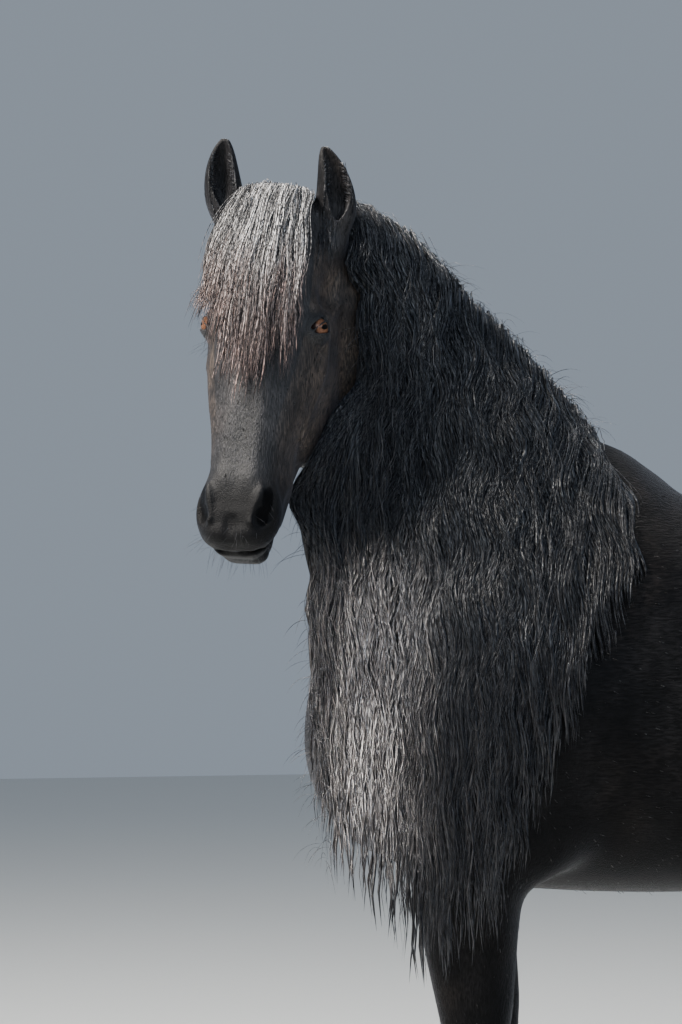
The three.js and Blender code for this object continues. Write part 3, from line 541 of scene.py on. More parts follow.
# What stands out of the trunk on each side: centre, radii, turn, blend
TRUNK_MUSCLES = [
    ((126, -220, 1290), (98, 150, 290), (38, -13, 0), 60),
    ((165, -330, 1080), (80, 150, 112), (-30, 0, 0), 50),
    ((84, -430, 1090), (104, 98, 140), (0, 0, 0), 40),
    ((176, -200, 1000), (68, 110, 140), (0, 0, 0), 50),
    ((150, 770, 1370), (122, 200, 130), (-14, 0, 0), 70),
    ((168, 905, 1240), (110, 170, 200), (0, 0, 0), 70),
    ((92, 1035, 1225), (104, 112, 170), (0, 0, 0), 70),
    ((206, -300, 1210), (40, 60, 130), (30, -8, 0), 50),
    ((196, -150, 1130), (56, 60, 150), (-32, 0, 0), 50),
]
# Hollows between them
TRUNK_HOLLOWS = [
    ((0, -590, 1090), (26, 40, 110), (0, 0, 0), 50),
    ((0, 905, 1596), (16, 170, 26), (-6, 0, 0), 60),
    ((0, 1172, 1190), (16, 44, 150), (0, 0, 0), 50),
]
# Bones and tendons of a foreleg, from its own axis: from, to, radii, blend
FORELEG_FORMS = [
    ((150, -76, 860), (142, -36, 600), 46, 26, 24),
    ((190, 10, 860), (162, 0, 600), 34, 16, 22),
    ((140, -40, 520), (140, -44, 468), 24, 26, 14),
    ((140, 42, 545), (140, 42, 480), 12, 12, 14),
    ((140, 30, 430), (140, 36, 215), 13, 13, 6),
    ((140, -14, 430), (140, -12, 215), 20, 20, 10),
]
HINDLEG_FORMS = [
    ((135, 1112, 640), (133, 1096, 250), 14, 13, 6),
    ((132, 1054, 500), (132, 1054, 250), 20, 20, 10),
    ((136, 1028, 860), (135, 1098, 650), 10, 14, 16),
    ((150, 905, 900), (138, 985, 660), 44, 20, 26),
]


def leg_forms(clay, name, forms):
    side, at = LEGS[name][2:]
    for a, b, radius_a, radius_b, blend in forms:
        ends = []
        for x, y, z in (a, b):
            ends.append((side * x, y + float(at(np.float64(z))), z))
        clay.rod(*ends, radius_a, radius_b, blend)


def body_clay(voxel):
    clay = Clay((-345, -640, 40), (345, 1240, 2060), voxel, 8)
    clay.join(sweep(TRUNK, trunk_rings, 96), 0)
    clay.join(sweep(NECK, neck_rings, 96), 62)
    for side in (1, -1):
        for (x, y, z), radii, (tx, ty, tz), blend in TRUNK_MUSCLES:
            clay.ball((side * x, y, z), radii, (tx, side * ty, side * tz), blend)
    for name in LEGS:
        clay.join(leg_mesh(name), 44)
        leg_forms(clay, name, FORELEG_FORMS if name.startswith("fore") else HINDLEG_FORMS)
    for (x, y, z), radii, (tx, ty, tz), blend in TRUNK_HOLLOWS:
        for side in (1, -1) if x else (1,):
            clay.ball((side * x, y, z), radii, (tx, side * ty, side * tz), blend, carve=True)
    clay.rod((0, 1085, 1440), (0, 1180, 1330), 46, 30, 40)
    return clay


# The head, in its own frame. Bones and muscles of one side: centre, radii, turn, blend
HEAD_BALLS = [
    ((58, 165, -240), (48, 92, 182), (4, 0, 0), 22),
    ((79, 51, -221), (28, 33, 36), (0, 0, 0), 16),
    ((76, 78, -66), (34, 34, 46), (0, 24, 0), 16),
    ((48, 42, -546), (24, 36, 48), (14, 0, -16), 16),
    ((20, 42, -590), (34, 34, 24), (0, 0, 0), 16),
    ((14, 112, -596), (28, 26, 20), (0, 0, 0), 10),
    ((12, 62, -606), (26, 28, 14), (0, 0, 0), 8),
    ((50, 96, -490), (20, 34, 70), (0, 0, 0), 20),
]
HEAD_RODS = [
    ((64, 32, -192), (94, 58, -184), 12, 10, 14),
    ((96, 66, -190), (95, 126, -142), 9, 11, 14),
    ((96, 66, -200), (94, 84, -280), 8, 8, 16),
    ((94, 84, -280), (77, 90, -400), 9, 5, 12),
    ((24, 22, -150), (22, 36, -500), 30, 26, 20),
    ((22, 36, -500), (14, 44, -560), 26, 24, 20),
    ((48, 8, -508), (38, 8, -574), 4, 7, 14),
    ((16, 30, -560), (0, 34, -566), 20, 20, 16),
]
HEAD_HOLLOWS = [
    ((101, 58, -148), (16, 26, 28), (0, 0, 0), 24),
    ((62, -6, -420), (14, 14, 80), (3, 0, 0), 26),
    ((0, 2, -590), (3, 8, 18), (0, 0, 0), 14),
    ((98, 64, -450), (20, 26, 60), (0, 0, 0), 24),
    ((78, 104, -520), (14, 20, 30), (0, 0, 0), 16),
]
NOSTRIL = [((57, 10, -536), (3, 18, 30), (0, 12, -30), 9), ((52, 10, -562), (7, 18, 16), (0, 16, -26), 9)]
# Painted shadow in and round the nostrils: centre, radii
NOSTRIL_PAINTED_SHADOWS = [((57, 14, -536), (10, 26, 36)), ((52, 14, -562), (14, 26, 22))]
# Line between the lips, from the middle round to the corner
MOUTH = [(0, 50, -620), (20, 52, -616), (36, 60, -604), (47, 76, -588), (54, 100, -560)]


def lid_frame():
    """Axes at the eye: along the opening, up and out."""
    out = Vector(EYE_LOOKS).normalized()
    along = Vector((0, -0.75, 1)).cross(out).normalized()
    return np.array([along, out.cross(along), out])


def almond(count, grow=0.0, lift=0.0):
    """Points on the eyeball round the opening between the lids, from the inner corner by the upper lid."""
    angle = np.linspace(0, 2 * np.pi, count, endpoint=False)
    long, high = EYE_OPENING
    x = -np.cos(angle)
    along = (long + grow) * x + LID_SHIFT
    up = (high + grow) * np.sin(angle) * (1 + 0.25 * x) - 2
    out = np.sqrt(np.maximum(EYE_RADIUS**2 - along**2 - up**2, 30.0)) + lift
    return np.array(EYE_AT) + np.stack([along, up, out], 1) @ lid_frame()


def ear_rings(t, inner, outwards, lean, length):
    """Sections of an upright ear at the head's left, or of the hollow in it."""
    width = 38 * np.sqrt(np.sin(np.pi * np.minimum(0.985, 0.28 + 0.71 * t)))
    wide = width * (0.72 + 0.28 * smooth(clamp01(2.5 * t)))
    x = 84 + 12 * np.sin(2.9 * t) - 12 * t**3 + lean * t**1.5
    centre = np.stack([x, 72 - 74 * t, -62 + length * t], 1)
    turn = math.radians(outwards)
    side = np.tile([math.cos(turn), math.sin(turn), 0], (len(t), 1))
    up = np.tile([math.sin(turn), -math.cos(turn), 0], (len(t), 1))
    half, deep = wide, 0.76 * wide
    if inner:
        hollow = np.maximum(wide - 8, 0.8) * smooth(clamp01((t + 0.05) / 0.75)) ** 0.8
        centre = centre + up * (0.52 * wide)[:, None] + np.outer(14 * (1 - t) ** 3 - 9 * t**6, [0, 0, 1])
        half, deep = 0.72 * hollow, 0.62 * hollow
    return rings(centre, side, up, deep, deep, half, 28)


def head_clay(voxel):
    clay = Clay((-165, -62, -648), (240, 400, 142), voxel, 10)
    clay.join(sweep(SKULL, skull_rings, 120), 0)
    clay.join(sweep(JAW, column_rings, 96), 20)
    clay.join(moved(sweep(NECK, neck_rings, 96), HEAD.inverted()), 20)
    t = np.linspace(0, 1, 25)
    for side in (1, -1):
        flip = np.array([side, 1, 1])
        for centre, radii, (tx, ty, tz), blend in HEAD_BALLS:
            clay.ball(flip * centre, radii, (tx, side * ty, side * tz), blend)
        for a, b, radius_a, radius_b, blend in HEAD_RODS:
            clay.rod(flip * a, flip * b, radius_a, radius_b, blend)
        for centre, radii, (tx, ty, tz), blend in HEAD_HOLLOWS + NOSTRIL:
            clay.ball(flip * centre, radii, (tx, side * ty, side * tz), blend, carve=True)
        for a, b in zip(MOUTH, MOUTH[1:]):
            clay.rod(flip * a, flip * b, 3, 3, 6, carve=True)
        outer, inner = (loft(ear_rings(t, hollow, *EARS[side])) for hollow in (False, True))
        clay.join(outer if side > 0 else mirror(outer), 14)
        clay.cut(inner if side > 0 else mirror(inner), 2)
        eyelids(clay, flip)
    return clay


def eye_gap(points):
    """How far points of the head's frame are from the nearer eye."""
    return np.minimum(*(np.linalg.norm(points - np.array([s, 1, 1]) * EYE_AT, axis=1) for s in (1, -1)))


def eyelids(clay, flip):
    """Skin over the eyeball, open between the lids, with their rims and the fold above the eye."""
    centre = flip * EYE_AT
    axes = lid_frame()
    reach = EYE_RADIUS + 16.0
    part, p = clay.window(centre - reach, centre + reach)
    q = (flip * p - EYE_AT) @ axes.T
    lid = EYE_RADIUS + 4.0 + HEAD_INSET
    away = np.hypot(q[..., 0], q[..., 1])
    dish = np.sqrt(lid**2 - np.minimum(away, 18) ** 2) + 0.2 * np.maximum(away - 18, 0)
    dish += 1.5 * np.maximum(away - 26, 0)
    clay.merge(part, (dish - q[..., 2]).astype(np.float32), 7, True)
    clay.ball(centre, [lid] * 3, blend=6)
    fold = almond(28, grow=8, lift=7)[3:12]
    for a, b in zip(fold, fold[1:]):
        clay.rod(flip * a, flip * b, 0.6, 0.6, 5, carve=True)
    long, high = EYE_OPENING
    x = (q[..., 0] - LID_SHIFT) / (long - HEAD_INSET)
    up = (q[..., 1] + 2) / ((high - HEAD_INSET) * (1 + 0.25 * np.clip(x, -1, 1)))
    gap = np.where(q[..., 2] > 4, (np.hypot(x, up) - 1) * high, reach)
    clay.merge(part, gap.astype(np.float32), 2, True)
    rim = almond(32, grow=2, lift=1)
    for a, b in zip(rim, np.roll(rim, -1, axis=0)):
        clay.rod(flip * a, flip * b, 1.8 + HEAD_INSET, 1.8 + HEAD_INSET, 3)
    clay.ball(centre, [EYE_RADIUS + 0.3 - HEAD_INSET] * 3, blend=0, carve=True)


def added(name, data):
    """An object of the scene for a mesh, a light or a camera."""
    made = bpy.data.objects.new(name, data)
    bpy.context.scene.collection.objects.link(made)
    return made


def numbers_of(items, key, size, kind=np.float32):
    """What every vertex, face or corner of a mesh says of itself, one row for each."""
    values = np.empty(len(items) * size, kind)
    items.foreach_get(key, values)
    return values.reshape(-1, size)


def mesh_of(name, points, faces, matrix=TO_PART):
    """A smooth mesh in the part's frame, of points in the working frame and arrays of faces."""
    mesh = bpy.data.meshes.new(name)
    mesh.vertices.add(len(points))
    mesh.vertices.foreach_set("co", apply(matrix, points).astype(np.float32).ravel())
    corners = np.concatenate([f.ravel() for f in faces]).astype(np.int32)
    sizes = np.concatenate([np.full(len(f), f.shape[1]) for f in faces])
    mesh.loops.add(len(corners))
    mesh.loops.foreach_set("vertex_index", corners)
    mesh.polygons.add(len(sizes))
    mesh.polygons.foreach_set("loop_start", (np.cumsum(sizes) - sizes).astype(np.int32))
    mesh.polygons.foreach_set("use_smooth", np.ones(len(sizes), bool))
    mesh.update(calc_edges=True)
    return mesh


def mark(mesh, name, values):
    """A number on every vertex of a mesh, which a material reads."""
    mesh.attributes.new(name, "FLOAT", "POINT").data.foreach_set("value", values.astype(np.float32))


def piece(mesh, material, *nodes):
    """An object of the horse that stands for CAD nodes."""
    made = added(mesh.name, mesh)
    mesh.materials.append(material)
    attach(made, "root")
    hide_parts(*nodes)


def thinned(mesh, share):
    """The mesh with about that share of its triangles."""
    made = added("thinned", mesh)
    made.modifiers.new("thin", "DECIMATE").ratio = share
    after = bpy.data.meshes.new_from_object(made.evaluated_get(bpy.context.evaluated_depsgraph_get()))
    bpy.data.objects.remove(made)
    return after


def sliced(mesh, point, normal):
    """What lies ahead of a plane."""
    made = bmesh.new()
    made.from_mesh(mesh)
    everything = [*made.verts, *made.edges, *made.faces]
    plane = {"plane_co": point, "plane_no": normal, "clear_inner": True}
    bmesh.ops.bisect_plane(made, geom=everything, dist=1e-6, **plane)
    after = bpy.data.meshes.new("sliced")
    made.to_mesh(after)
    made.free()
    return after


def rim(made, first, point, normal):
    """The open edge of a cut mesh by angle round the cut's middle, with its first vertex again at the end."""
    verts = [v for v in made.verts[first:] if v.is_boundary and abs((v.co - point).dot(normal)) < 0.02]
    middle = sum((v.co for v in verts), Vector()) / len(verts)
    side = normal.cross((1, 0, 0)).normalized()
    up = normal.cross(side)

    def turn(v):
        return math.atan2((v.co - middle).dot(side), (v.co - middle).dot(up))

    verts.sort(key=turn)
    angles = [turn(v) for v in verts]
    return verts + verts[:1], angles + [angles[0] + 2 * math.pi]


def whole_skin(body, head):
    """Body and head as one mesh: both cut across the neck, and the cuts zipped together."""
    point = TO_PART @ Vector(SKIN_CUT)
    normal = Vector(SKIN_CUT_AHEAD).normalized()
    body = sliced(body, point - SKIN_GAP * normal, -normal)
    head = sliced(head, point + SKIN_GAP * normal, normal)
    made = bmesh.new()
    made.from_mesh(body)
    made.verts.ensure_lookup_table()
    rear, rear_at = rim(made, 0, point, normal)
    count = len(made.verts)
    made.from_mesh(head)
    made.verts.ensure_lookup_table()
    front, front_at = rim(made, count, point, normal)
    i = j = 0
    while i + 1 < len(rear) or j + 1 < len(front):
        if j + 1 == len(front) or (i + 1 < len(rear) and rear_at[i + 1] <= front_at[j + 1]):
            made.faces.new((rear[i], rear[i + 1], front[j]))
            i += 1
        else:
            made.faces.new((rear[i], front[j + 1], front[j]))
            j += 1
    bmesh.ops.recalc_face_normals(made, faces=made.faces)
    for face in made.faces:
        face.smooth = True
    skin = bpy.data.meshes.new("skin")
    made.to_mesh(skin)
    made.free()
    return skin


def eyeball(name, side):
    """A ball with the bulge of its cornea, and each vertex's place across the gaze."""
    axes = lid_frame() * [side, 1, 1]
    polar = np.radians(np.concatenate([np.linspace(0, 60, 41), np.linspace(64, 180, 26)]))
    around = np.linspace(0, 2 * np.pi, 64, endpoint=False)
    bulge = 1.8 * smooth(clamp01((np.radians(38) - polar) / np.radians(30)))
    radius = (EYE_RADIUS - 0.4 + bulge)[1:-1, None]
    across = radius * np.sin(polar[1:-1, None])
    deep = radius * np.cos(polar[1:-1, None]) + 0 * around
    local = np.stack([across * np.cos(around), across * np.sin(around), deep], -1)
    points, quads, triangles = loft(local)
    points[-2:] = [[0, 0, EYE_RADIUS - 0.4 + bulge[0]], [0, 0, -EYE_RADIUS + 0.4]]
    place = np.array([side, 1, 1]) * EYE_AT + points @ axes
    if side > 0:
        quads, triangles = quads[:, ::-1], triangles[:, ::-1]
    mesh = mesh_of(name, apply(HEAD, place), [quads, triangles])
    gaze = mesh.attributes.new("gaze", "FLOAT_VECTOR", "POINT")
    gaze.data.foreach_set("vector", (points / EYE_RADIUS).astype(np.float32).ravel())
    return mesh


def hoof_mesh(name):
    """A hoof with its wall, a rounded lower edge and a flat sole."""
    rows, side, at = LEGS[name][1:]
    rows = shifted(rows, at)
    fine = rows_at(rows, np.linspace(0, len(rows) - 1, 33))
    inset = fine[[-1, -1]].copy()
    inset[:, 0] = (0.6, 0.05)
    inset[:, 1] += (0.6, 2.2)
    inset[:, 3] -= (0.6, 2.2)
    inset[:, 4] -= (0.6, 2.2)
    fine[-1, 0] = 2.4
    inside = 0.6 + (BODY_INSET - 0.8) * smooth(clamp01((fine[:, 0] - 38) / 24))
    fine[:, 1] += inside
    fine[:, 3] -= inside
    fine[:, 4] -= inside
    mesh = loft(column_rings(np.concatenate([fine, inset]), 72))
    mesh = mesh if side > 0 else mirror(mesh)
    return mesh_of(name + "_hoof_shell", mesh[0], [mesh[1][:, ::-1], mesh[2][:, ::-1]])


def strands(paths, wide, thick, across):
    """Closed three-sided tapering strands along paths (number, stations, 3): points and faces.

    wide and thick are half sizes at each station, and across is the way the width runs.
    """
    count, stations = paths.shape[:2]
    along = np.gradient(paths, axis=1)
    along /= np.linalg.norm(along, axis=-1, keepdims=True) + 1e-9
    side = across - (across * along).sum(-1, keepdims=True) * along
    side /= np.linalg.norm(side, axis=-1, keepdims=True) + 1e-9
    out = np.cross(along, side)
    wide, thick = wide[..., None], thick[..., None]
    ring = np.stack([paths + side * wide, paths - side * wide, paths + out * thick], 2)[:, :-1]
    points = np.concatenate([ring.reshape(count, -1, 3), paths[:, -1:]], 1)
    size = points.shape[1]
    k = 3 * np.arange(stations - 2)[:, None] + np.arange(3)
    a, b = k, 3 * np.arange(stations - 2)[:, None] + (np.arange(3) + 1) % 3
    quads = np.stack([a, b, b + 3, a + 3], -1).reshape(-1, 4)
    last = 3 * (stations - 2) + np.arange(3)
    tip = np.stack([last, np.roll(last, -1), np.full(3, size - 1)], 1)
    triangles = np.concatenate([tip, [[2, 1, 0]]])
    start = size * np.arange(count)[:, None, None]
    return points.reshape(-1, 3), (quads + start).reshape(-1, 4), (triangles + start).reshape(-1, 3)


def taper(t):
    """Share of the full width along a strand: it swells from the root and narrows over its last part."""
    swell = 0.6 + 0.4 * smooth(clamp01(t / 0.15))
    return swell * (0.25 + 0.75 * smooth(clamp01((1 - t) / 0.45)))


def hair_mesh(name, paths, width, thick, across, roots, tone):
    """A mesh of strands with each strand's tone, its place along its length, and its bake patch."""
    count, stations = paths.shape[:2]
    t = np.linspace(0, 1, stations)
    wide = np.broadcast_to(width[:, None] * taper(t), (count, stations))
    deep = np.broadcast_to(thick[:, None] * taper(t), (count, stations))
    points, quads, triangles = strands(paths, wide, deep, across)
    mesh = mesh_of(name, points, [quads, triangles])
    size = 3 * (stations - 1) + 1
    along = np.append(np.repeat(t[:-1], 3), 1.0)
    mark(mesh, "tone", np.repeat(tone, size))
    mark(mesh, "along", np.tile(along, count))
    corner = np.append(np.tile([-0.4, 0.4, 0], stations - 1), 0)
    patch = np.stack([corner, along - 0.5], 1) * BAKE_PATCH
    place = (unwrapped(roots)[:, None] + patch).reshape(-1, 2)
    corners = numbers_of(mesh.loops, "vertex_index", 1, np.int32)[:, 0]
    mesh.uv_layers.new(name="OFBake").uv.foreach_set("vector", place[corners].astype(np.float32).ravel())
    return mesh


def unwrapped(points):
    """Places on a sheet of the skin unrolled: trunk and neck, head and legs side by side."""
    x, y, z = points.T
    turn = np.arctan2(x, z - 1180) / (2 * np.pi) + 0.5
    body = np.stack([0.02 + 0.46 * clamp01((y + 700) / 1950), 0.02 + 0.5 * turn], 1)
    h = apply(HEAD.inverted(), points)
    face = np.arctan2(h[:, 0], 90 - h[:, 1]) / (2 * np.pi) + 0.5
    head = np.stack([0.52 + 0.46 * clamp01((h[:, 2] + 640) / 800), 0.02 + 0.5 * face], 1)
    column = 2 * (y > 300) + (x > 0)
    leg_y = np.where(y > 300, 1030, -260)
    leg = np.arctan2(np.abs(x) - 140, y - leg_y) / (2 * np.pi) + 0.5
    legs = np.stack([0.02 + 0.23 * column + 0.2 * leg, 0.55 + 0.43 * clamp01(z / 860)], 1)
    on_head = (np.abs(h[:, 0]) < 130) & (h[:, 1] < 260) & (h[:, 2] < 150) & (z > 1200) & (y < -380)
    return np.where(on_head[:, None], head, np.where((z < 800)[:, None], legs, body))


def waves(rng, t, length, wavelength, phase):
    """Soft waves along strands, out of step with one another, that start a little way down."""
    s = t[None] * length[:, None] / wavelength[:, None]
    swell = smooth(clamp01(t / 0.12))[None]
    drift = rng.uniform(-0.5, 0.5, (len(length), 1)) * np.sin(2 * np.pi * 0.31 * s + 2 * phase[:, None])
    return swell * (np.sin(2 * np.pi * s + phase[:, None]) + 0.6 * drift)


def smoothed(values, rounds=3):
    for _ in range(rounds):
        middle = (values[:, :-2] + 2 * values[:, 1:-1] + values[:, 2:]) / 4
        values = np.concatenate([values[:, :1], middle, values[:, -1:]], 1)
    return values


class Side:
    """How far the flesh reaches to the horse's left at each y and z."""

    def __init__(self, clay):
        inside = clay.field < 0
        top = inside.shape[0] - 1 - np.argmax(inside[::-1], axis=0)
        reach = clay.low[0] + clay.voxel * top.astype(float)
        self.reach = np.where(inside.any(0), reach, -400.0)
        self.low, self.voxel = clay.low, clay.voxel

    def at(self, y, z):
        q = np.stack([(y - self.low[1]) / self.voxel, (z - self.low[2]) / self.voxel])
        limit = np.array(self.reach.shape).reshape(2, *[1] * y.ndim) - 1.001
        q = np.clip(q, 0, limit)
        i = q.astype(int)
        f = q - i
        r = self.reach
        low = r[i[0], i[1]] * (1 - f[0]) + r[i[0] + 1, i[1]] * f[0]
        high = r[i[0], i[1] + 1] * (1 - f[0]) + r[i[0] + 1, i[1] + 1] * f[0]
        return low * (1 - f[1]) + high * f[1]


def crest_at(v):
    """The top of the neck from behind the ears (0) to the withers (1)."""
    row = rows_at(NECK, np.asarray(9 - 7.1 * v))
    return np.stack([row[:, 5], row[:, 0], row[:, 1]], 1)


def mane_paths(rng, v, stations, side, head, out, end, phase):
    """Strands from the crest over the near side, hanging clear of the flesh and of the head."""
    t = np.linspace(0, 1, stations) ** 1.2
    crest = crest_at(v)
    end_z, end_y = columns_at(MANE_ENDS, v)
    end_z = end_z + end
    top = crest[:, 2] - 12
    z = top[:, None] - (top - end_z)[:, None] * t**1.1
    behind_jaw = 95 * np.exp(-(((z - 1780) / 190) ** 2)) * clamp01(1 - 2.6 * v)[:, None]
    behind_jaw -= 64 * np.exp(-(((z - 1556) / 80) ** 2)) * clamp01(1 - 7 * v)[:, None]
    length = top - end_z
    wave = waves(rng, t, length, 150 + 22 * np.sin(17 * v) + rng.uniform(-6, 6, len(v)), phase)
    sway = MANE_WAVE * wave * (1 - 0.7 * t**1.5)
    y = crest[:, 1:2] + (end_y - crest[:, 1])[:, None] * smooth(clamp01(1.25 * t)) + behind_jaw + sway
    x = side.at(y, z)
    x[:, 0] = crest[:, 0]
    x = np.maximum(x, x[:, :1] - 10)
    x = smoothed(np.maximum.accumulate(x, axis=1), 4)
    lift = out[:, None] * smooth(clamp01(0.25 + 3 * t))
    lift = lift + 0.35 * MANE_WAVE * np.roll(wave, stations // 9, axis=1)
    paths = np.stack([x + lift, y, z], -1)
    paths[:, 0] = crest + np.array([0, 0, -14])
    paths[:, 1, 2] = np.maximum(paths[:, 1, 2], crest[:, 2] + 0.3 * out)
    return away_from_head(paths, head, 5 + 0.4 * out)


def away_from_head(paths, head, clear):
    shape = paths.shape
    near = apply(HEAD.inverted(), paths.reshape(-1, 3))
    inside = ((near > head.low) & (near < head.low + head.voxel * (np.array(head.field.shape) - 1))).all(1)
    moved_points = near[inside]
    limit = np.repeat(clear, shape[1])[inside]
    for _ in range(3):
        moved_points = head.push_out(moved_points, limit)
    near[inside] = moved_points
    return apply(HEAD, near).reshape(shape)


def clumped(rng, guides, children, spread, close):
    """Children of each guide strand, spread at the root and drawn together towards the tip."""
    count, stations = guides.shape[:2]
    t = np.linspace(0, 1, stations)[None, :, None]
    offset = rng.normal(0, 1, (count * children, 1, 3)) * spread
    wander = rng.normal(0, 1, (count * children, 1, 3)) * spread * 0.5
    keep = close + (1 - close) * (1 - t) ** 0.7
    return np.repeat(guides, children, axis=0) + offset * keep + wander * np.sin(np.pi * t)


def cut_short(paths, share):
    """The strands cut at that share of their stations, each refitted to the same number of stations."""
    count, stations = paths.shape[:2]
    u = share[:, None] * np.linspace(0, 1, stations) * (stations - 1)
    i = np.minimum(u.astype(int), stations - 2)
    f = (u - i)[..., None]
    row = np.arange(count)[:, None]
    return paths[row, i] * (1 - f) + paths[row, i + 1] * f


def children_of(rng, guides, number, spread, close, shares, halves):
    """Children of each guide strand: their paths, cut at shares of their length, half sizes and tones."""
    paths = clumped(rng, guides, number, spread, close)
    if shares:
        paths = cut_short(paths, rng.uniform(*shares, len(paths)))
    return paths, rng.uniform(*halves, len(paths)), rng.uniform(0, 1, len(paths))


def mane_meshes(side, head):
    """Layers of locks and fine hair over the near side of the neck, and loose hairs at its edges."""
    rng = np.random.default_rng(MANE_SEED)
    made = []
    across = np.array([0.0, 1, 0])
    for number, (locks, out, width, stations, children) in enumerate(MANE_LAYERS):
        v = np.sort(clamp01((np.arange(locks) + rng.uniform(0, 1, locks)) / locks))
        phase = 16 * v + 2.2 * np.sin(29 * v) + rng.normal(0, 0.3, locks)
        lift = out + rng.uniform(-4, 4, locks)
        end = rng.uniform(-45, 60, locks)
        guides = mane_paths(rng, v, stations, side, head, lift, end, phase)
        ribbons = clumped(rng, guides, 3, np.array([3, 7, 0]), 0.5)
        ribbons = cut_short(ribbons, rng.uniform(0.84, 1, len(ribbons)))
        ribbons = away_from_head(ribbons, head, np.full(len(ribbons), 5.0))
        tone = np.repeat(rng.uniform(0, 1, locks), 3) * 0.6 + 0.4 * rng.uniform(0, 1, len(ribbons))
        # Painted shade: the locks darker towards the withers
        tone = tone * (1 - 0.55 * np.repeat(v, 3))
        half = width * rng.uniform(0.6, 1.2, len(ribbons))
        made.append(("mane_locks_%d" % number, ribbons, half, half * 0.14, across, tone))
        if children:
            spread = np.array([5, 9, 1.5])
            fine, half, tone = children_of(rng, guides, children, spread, 0.55, (0.6, 1.0), (0.35, 0.9))
            fine[:, :, 0] += 3
            fine = away_from_head(fine, head, np.full(len(fine), 6.0))
            # Painted shade: the fine hair darker towards the withers
            tone = tone**2 * (1 - 0.55 * np.repeat(v, children))
            made.append(("mane_hair_%d" % number, fine, half, half * 0.6, across, tone))
    made.append(("mane_frizz", *flyaways(rng, crest_at(rng.uniform(0, 1, MANE_FRIZZ)), (0.3, 0.75, 0), 34)))
    front = guides[rng.integers(0, 26, MANE_FRIZZ), rng.integers(10, 35, MANE_FRIZZ)]
    made.append(("mane_front_frizz", *flyaways(rng, front, (0.5, -0.9, -0.4), 16)))
    return made


def flyaways(rng, roots, drift, rise):
    """Loose fine hairs that stand up from their roots and curl over."""
    count = len(roots)
    t = np.linspace(0, 1, 9)[None, :, None]
    rise = rise * rng.uniform(0.35, 1, (count, 1, 1)) * np.array([0, 0, 1])
    way = rng.normal(0, 22, (count, 1, 3)) * [1, 1, 0.2] + 26 * np.array(drift)
    fall = rng.uniform(10, 46, (count, 1, 1)) * np.array([0.5, 0, -1])
    start = roots[:, None] + rng.normal(0, 5, (count, 1, 3)) - [0, 0, 8]
    paths = start + rise * t * (2 - t) + way * t + fall * t**2.5
    half = rng.uniform(0.25, 0.5, count)
    return paths, half, half, np.array([0.0, 1, 0]), rng.uniform(0.3, 1, count)


def forelock_meshes(head):
    """Locks that fan from the poll over the forehead, the longest at the middle."""
    rng = np.random.default_rng(FORELOCK_SEED)
    made = []
    t = np.linspace(0, 1, 19)
    for number, (locks, out, half_width, children) in enumerate(FORELOCK_LAYERS):
        u = (np.arange(locks) + rng.uniform(0, 1, locks)) / locks
        root = -54 + 100 * u
        tip, drop = columns_at(FORELOCK_ENDS, u)
        tip = tip + rng.normal(0, 6, locks)
        drop = drop * rng.uniform(0.8, 1.04, locks)
        z = 20 + 8 * np.sin(np.pi * u)[:, None] - (drop[:, None] + 20) * t**1.25
        wave = waves(rng, t, drop, rng.uniform(90, 150, locks), rng.uniform(0, 6.28, locks))
        x = root[:, None] + (tip - root)[:, None] * t**0.9 + 2.5 * wave
        y = np.full_like(x, 40.0)
        y[:, 1:] = -10
        y[:, 0] = 60
        points = np.stack([x, y, z], -1)
        points[:, 0, 2] = -6
        lift = np.full((locks, len(t)), out) + rng.uniform(-2, 4, (locks, 1)) + 8 * t
        points = over_face(points, head, lift)
        ribbons = clumped(rng, points, 2, np.array([4, 1.5, 0]), 0.4)
        ribbons = cut_short(ribbons, rng.uniform(0.82, 1, len(ribbons)))
        tone = rng.uniform(0, 1, len(ribbons)) ** 1.5
        half = half_width * rng.uniform(0.6, 1.2, len(ribbons))
        ribbons = apply_all(HEAD, ribbons)
        made.append(("forelock_locks_%d" % number, ribbons, half, half * 0.16, HEAD_ACROSS, tone))
        spread = np.array([6, 3, 2])
        fine, half, tone = children_of(rng, points, children, spread, 0.8, (0.6, 1.0), (0.3, 0.7))
        fine[:, :, 1] -= 2.5
        made.append(("forelock_hair_%d" % number, apply_all(HEAD, fine), half, half, HEAD_ACROSS, tone))
    return made


def whiskers(head):
    """Stiff feelers of the chin, the lips and below the eyes."""
    rng = np.random.default_rng(WHISKER_SEED)
    t = np.linspace(0, 1, 7)[None, :, None]
    starts, ways = [], []
    for centre, spread, way, count in WHISKERS:
        side = np.where(rng.uniform(0, 1, count) < 0.5, -1, 1)[:, None] * [1, 0, 0] + [0, 1, 1]
        starts.append((np.array(centre) + rng.normal(0, 1, (count, 3)) * spread) * side)
        ways.append((np.array(way) + rng.normal(0, 0.22, (count, 3))) * side)
    starts, ways = np.concatenate(starts), np.concatenate(ways)
    gap = head.distance(starts)
    slope = head.push_out(starts, gap + 1) - starts
    starts = starts - slope * (gap + HEAD_INSET + 2)[:, None]
    length = rng.uniform(10, 34, (len(starts), 1, 1))
    paths = starts[:, None] + (ways[:, None] * t + np.array([0, 0.05, -0.25]) * t**2) * length
    half = rng.uniform(0.1, 0.2, len(starts))
    return "whiskers", apply_all(HEAD, paths), half, half, HEAD_ACROSS, rng.uniform(0.4, 1, len(starts))


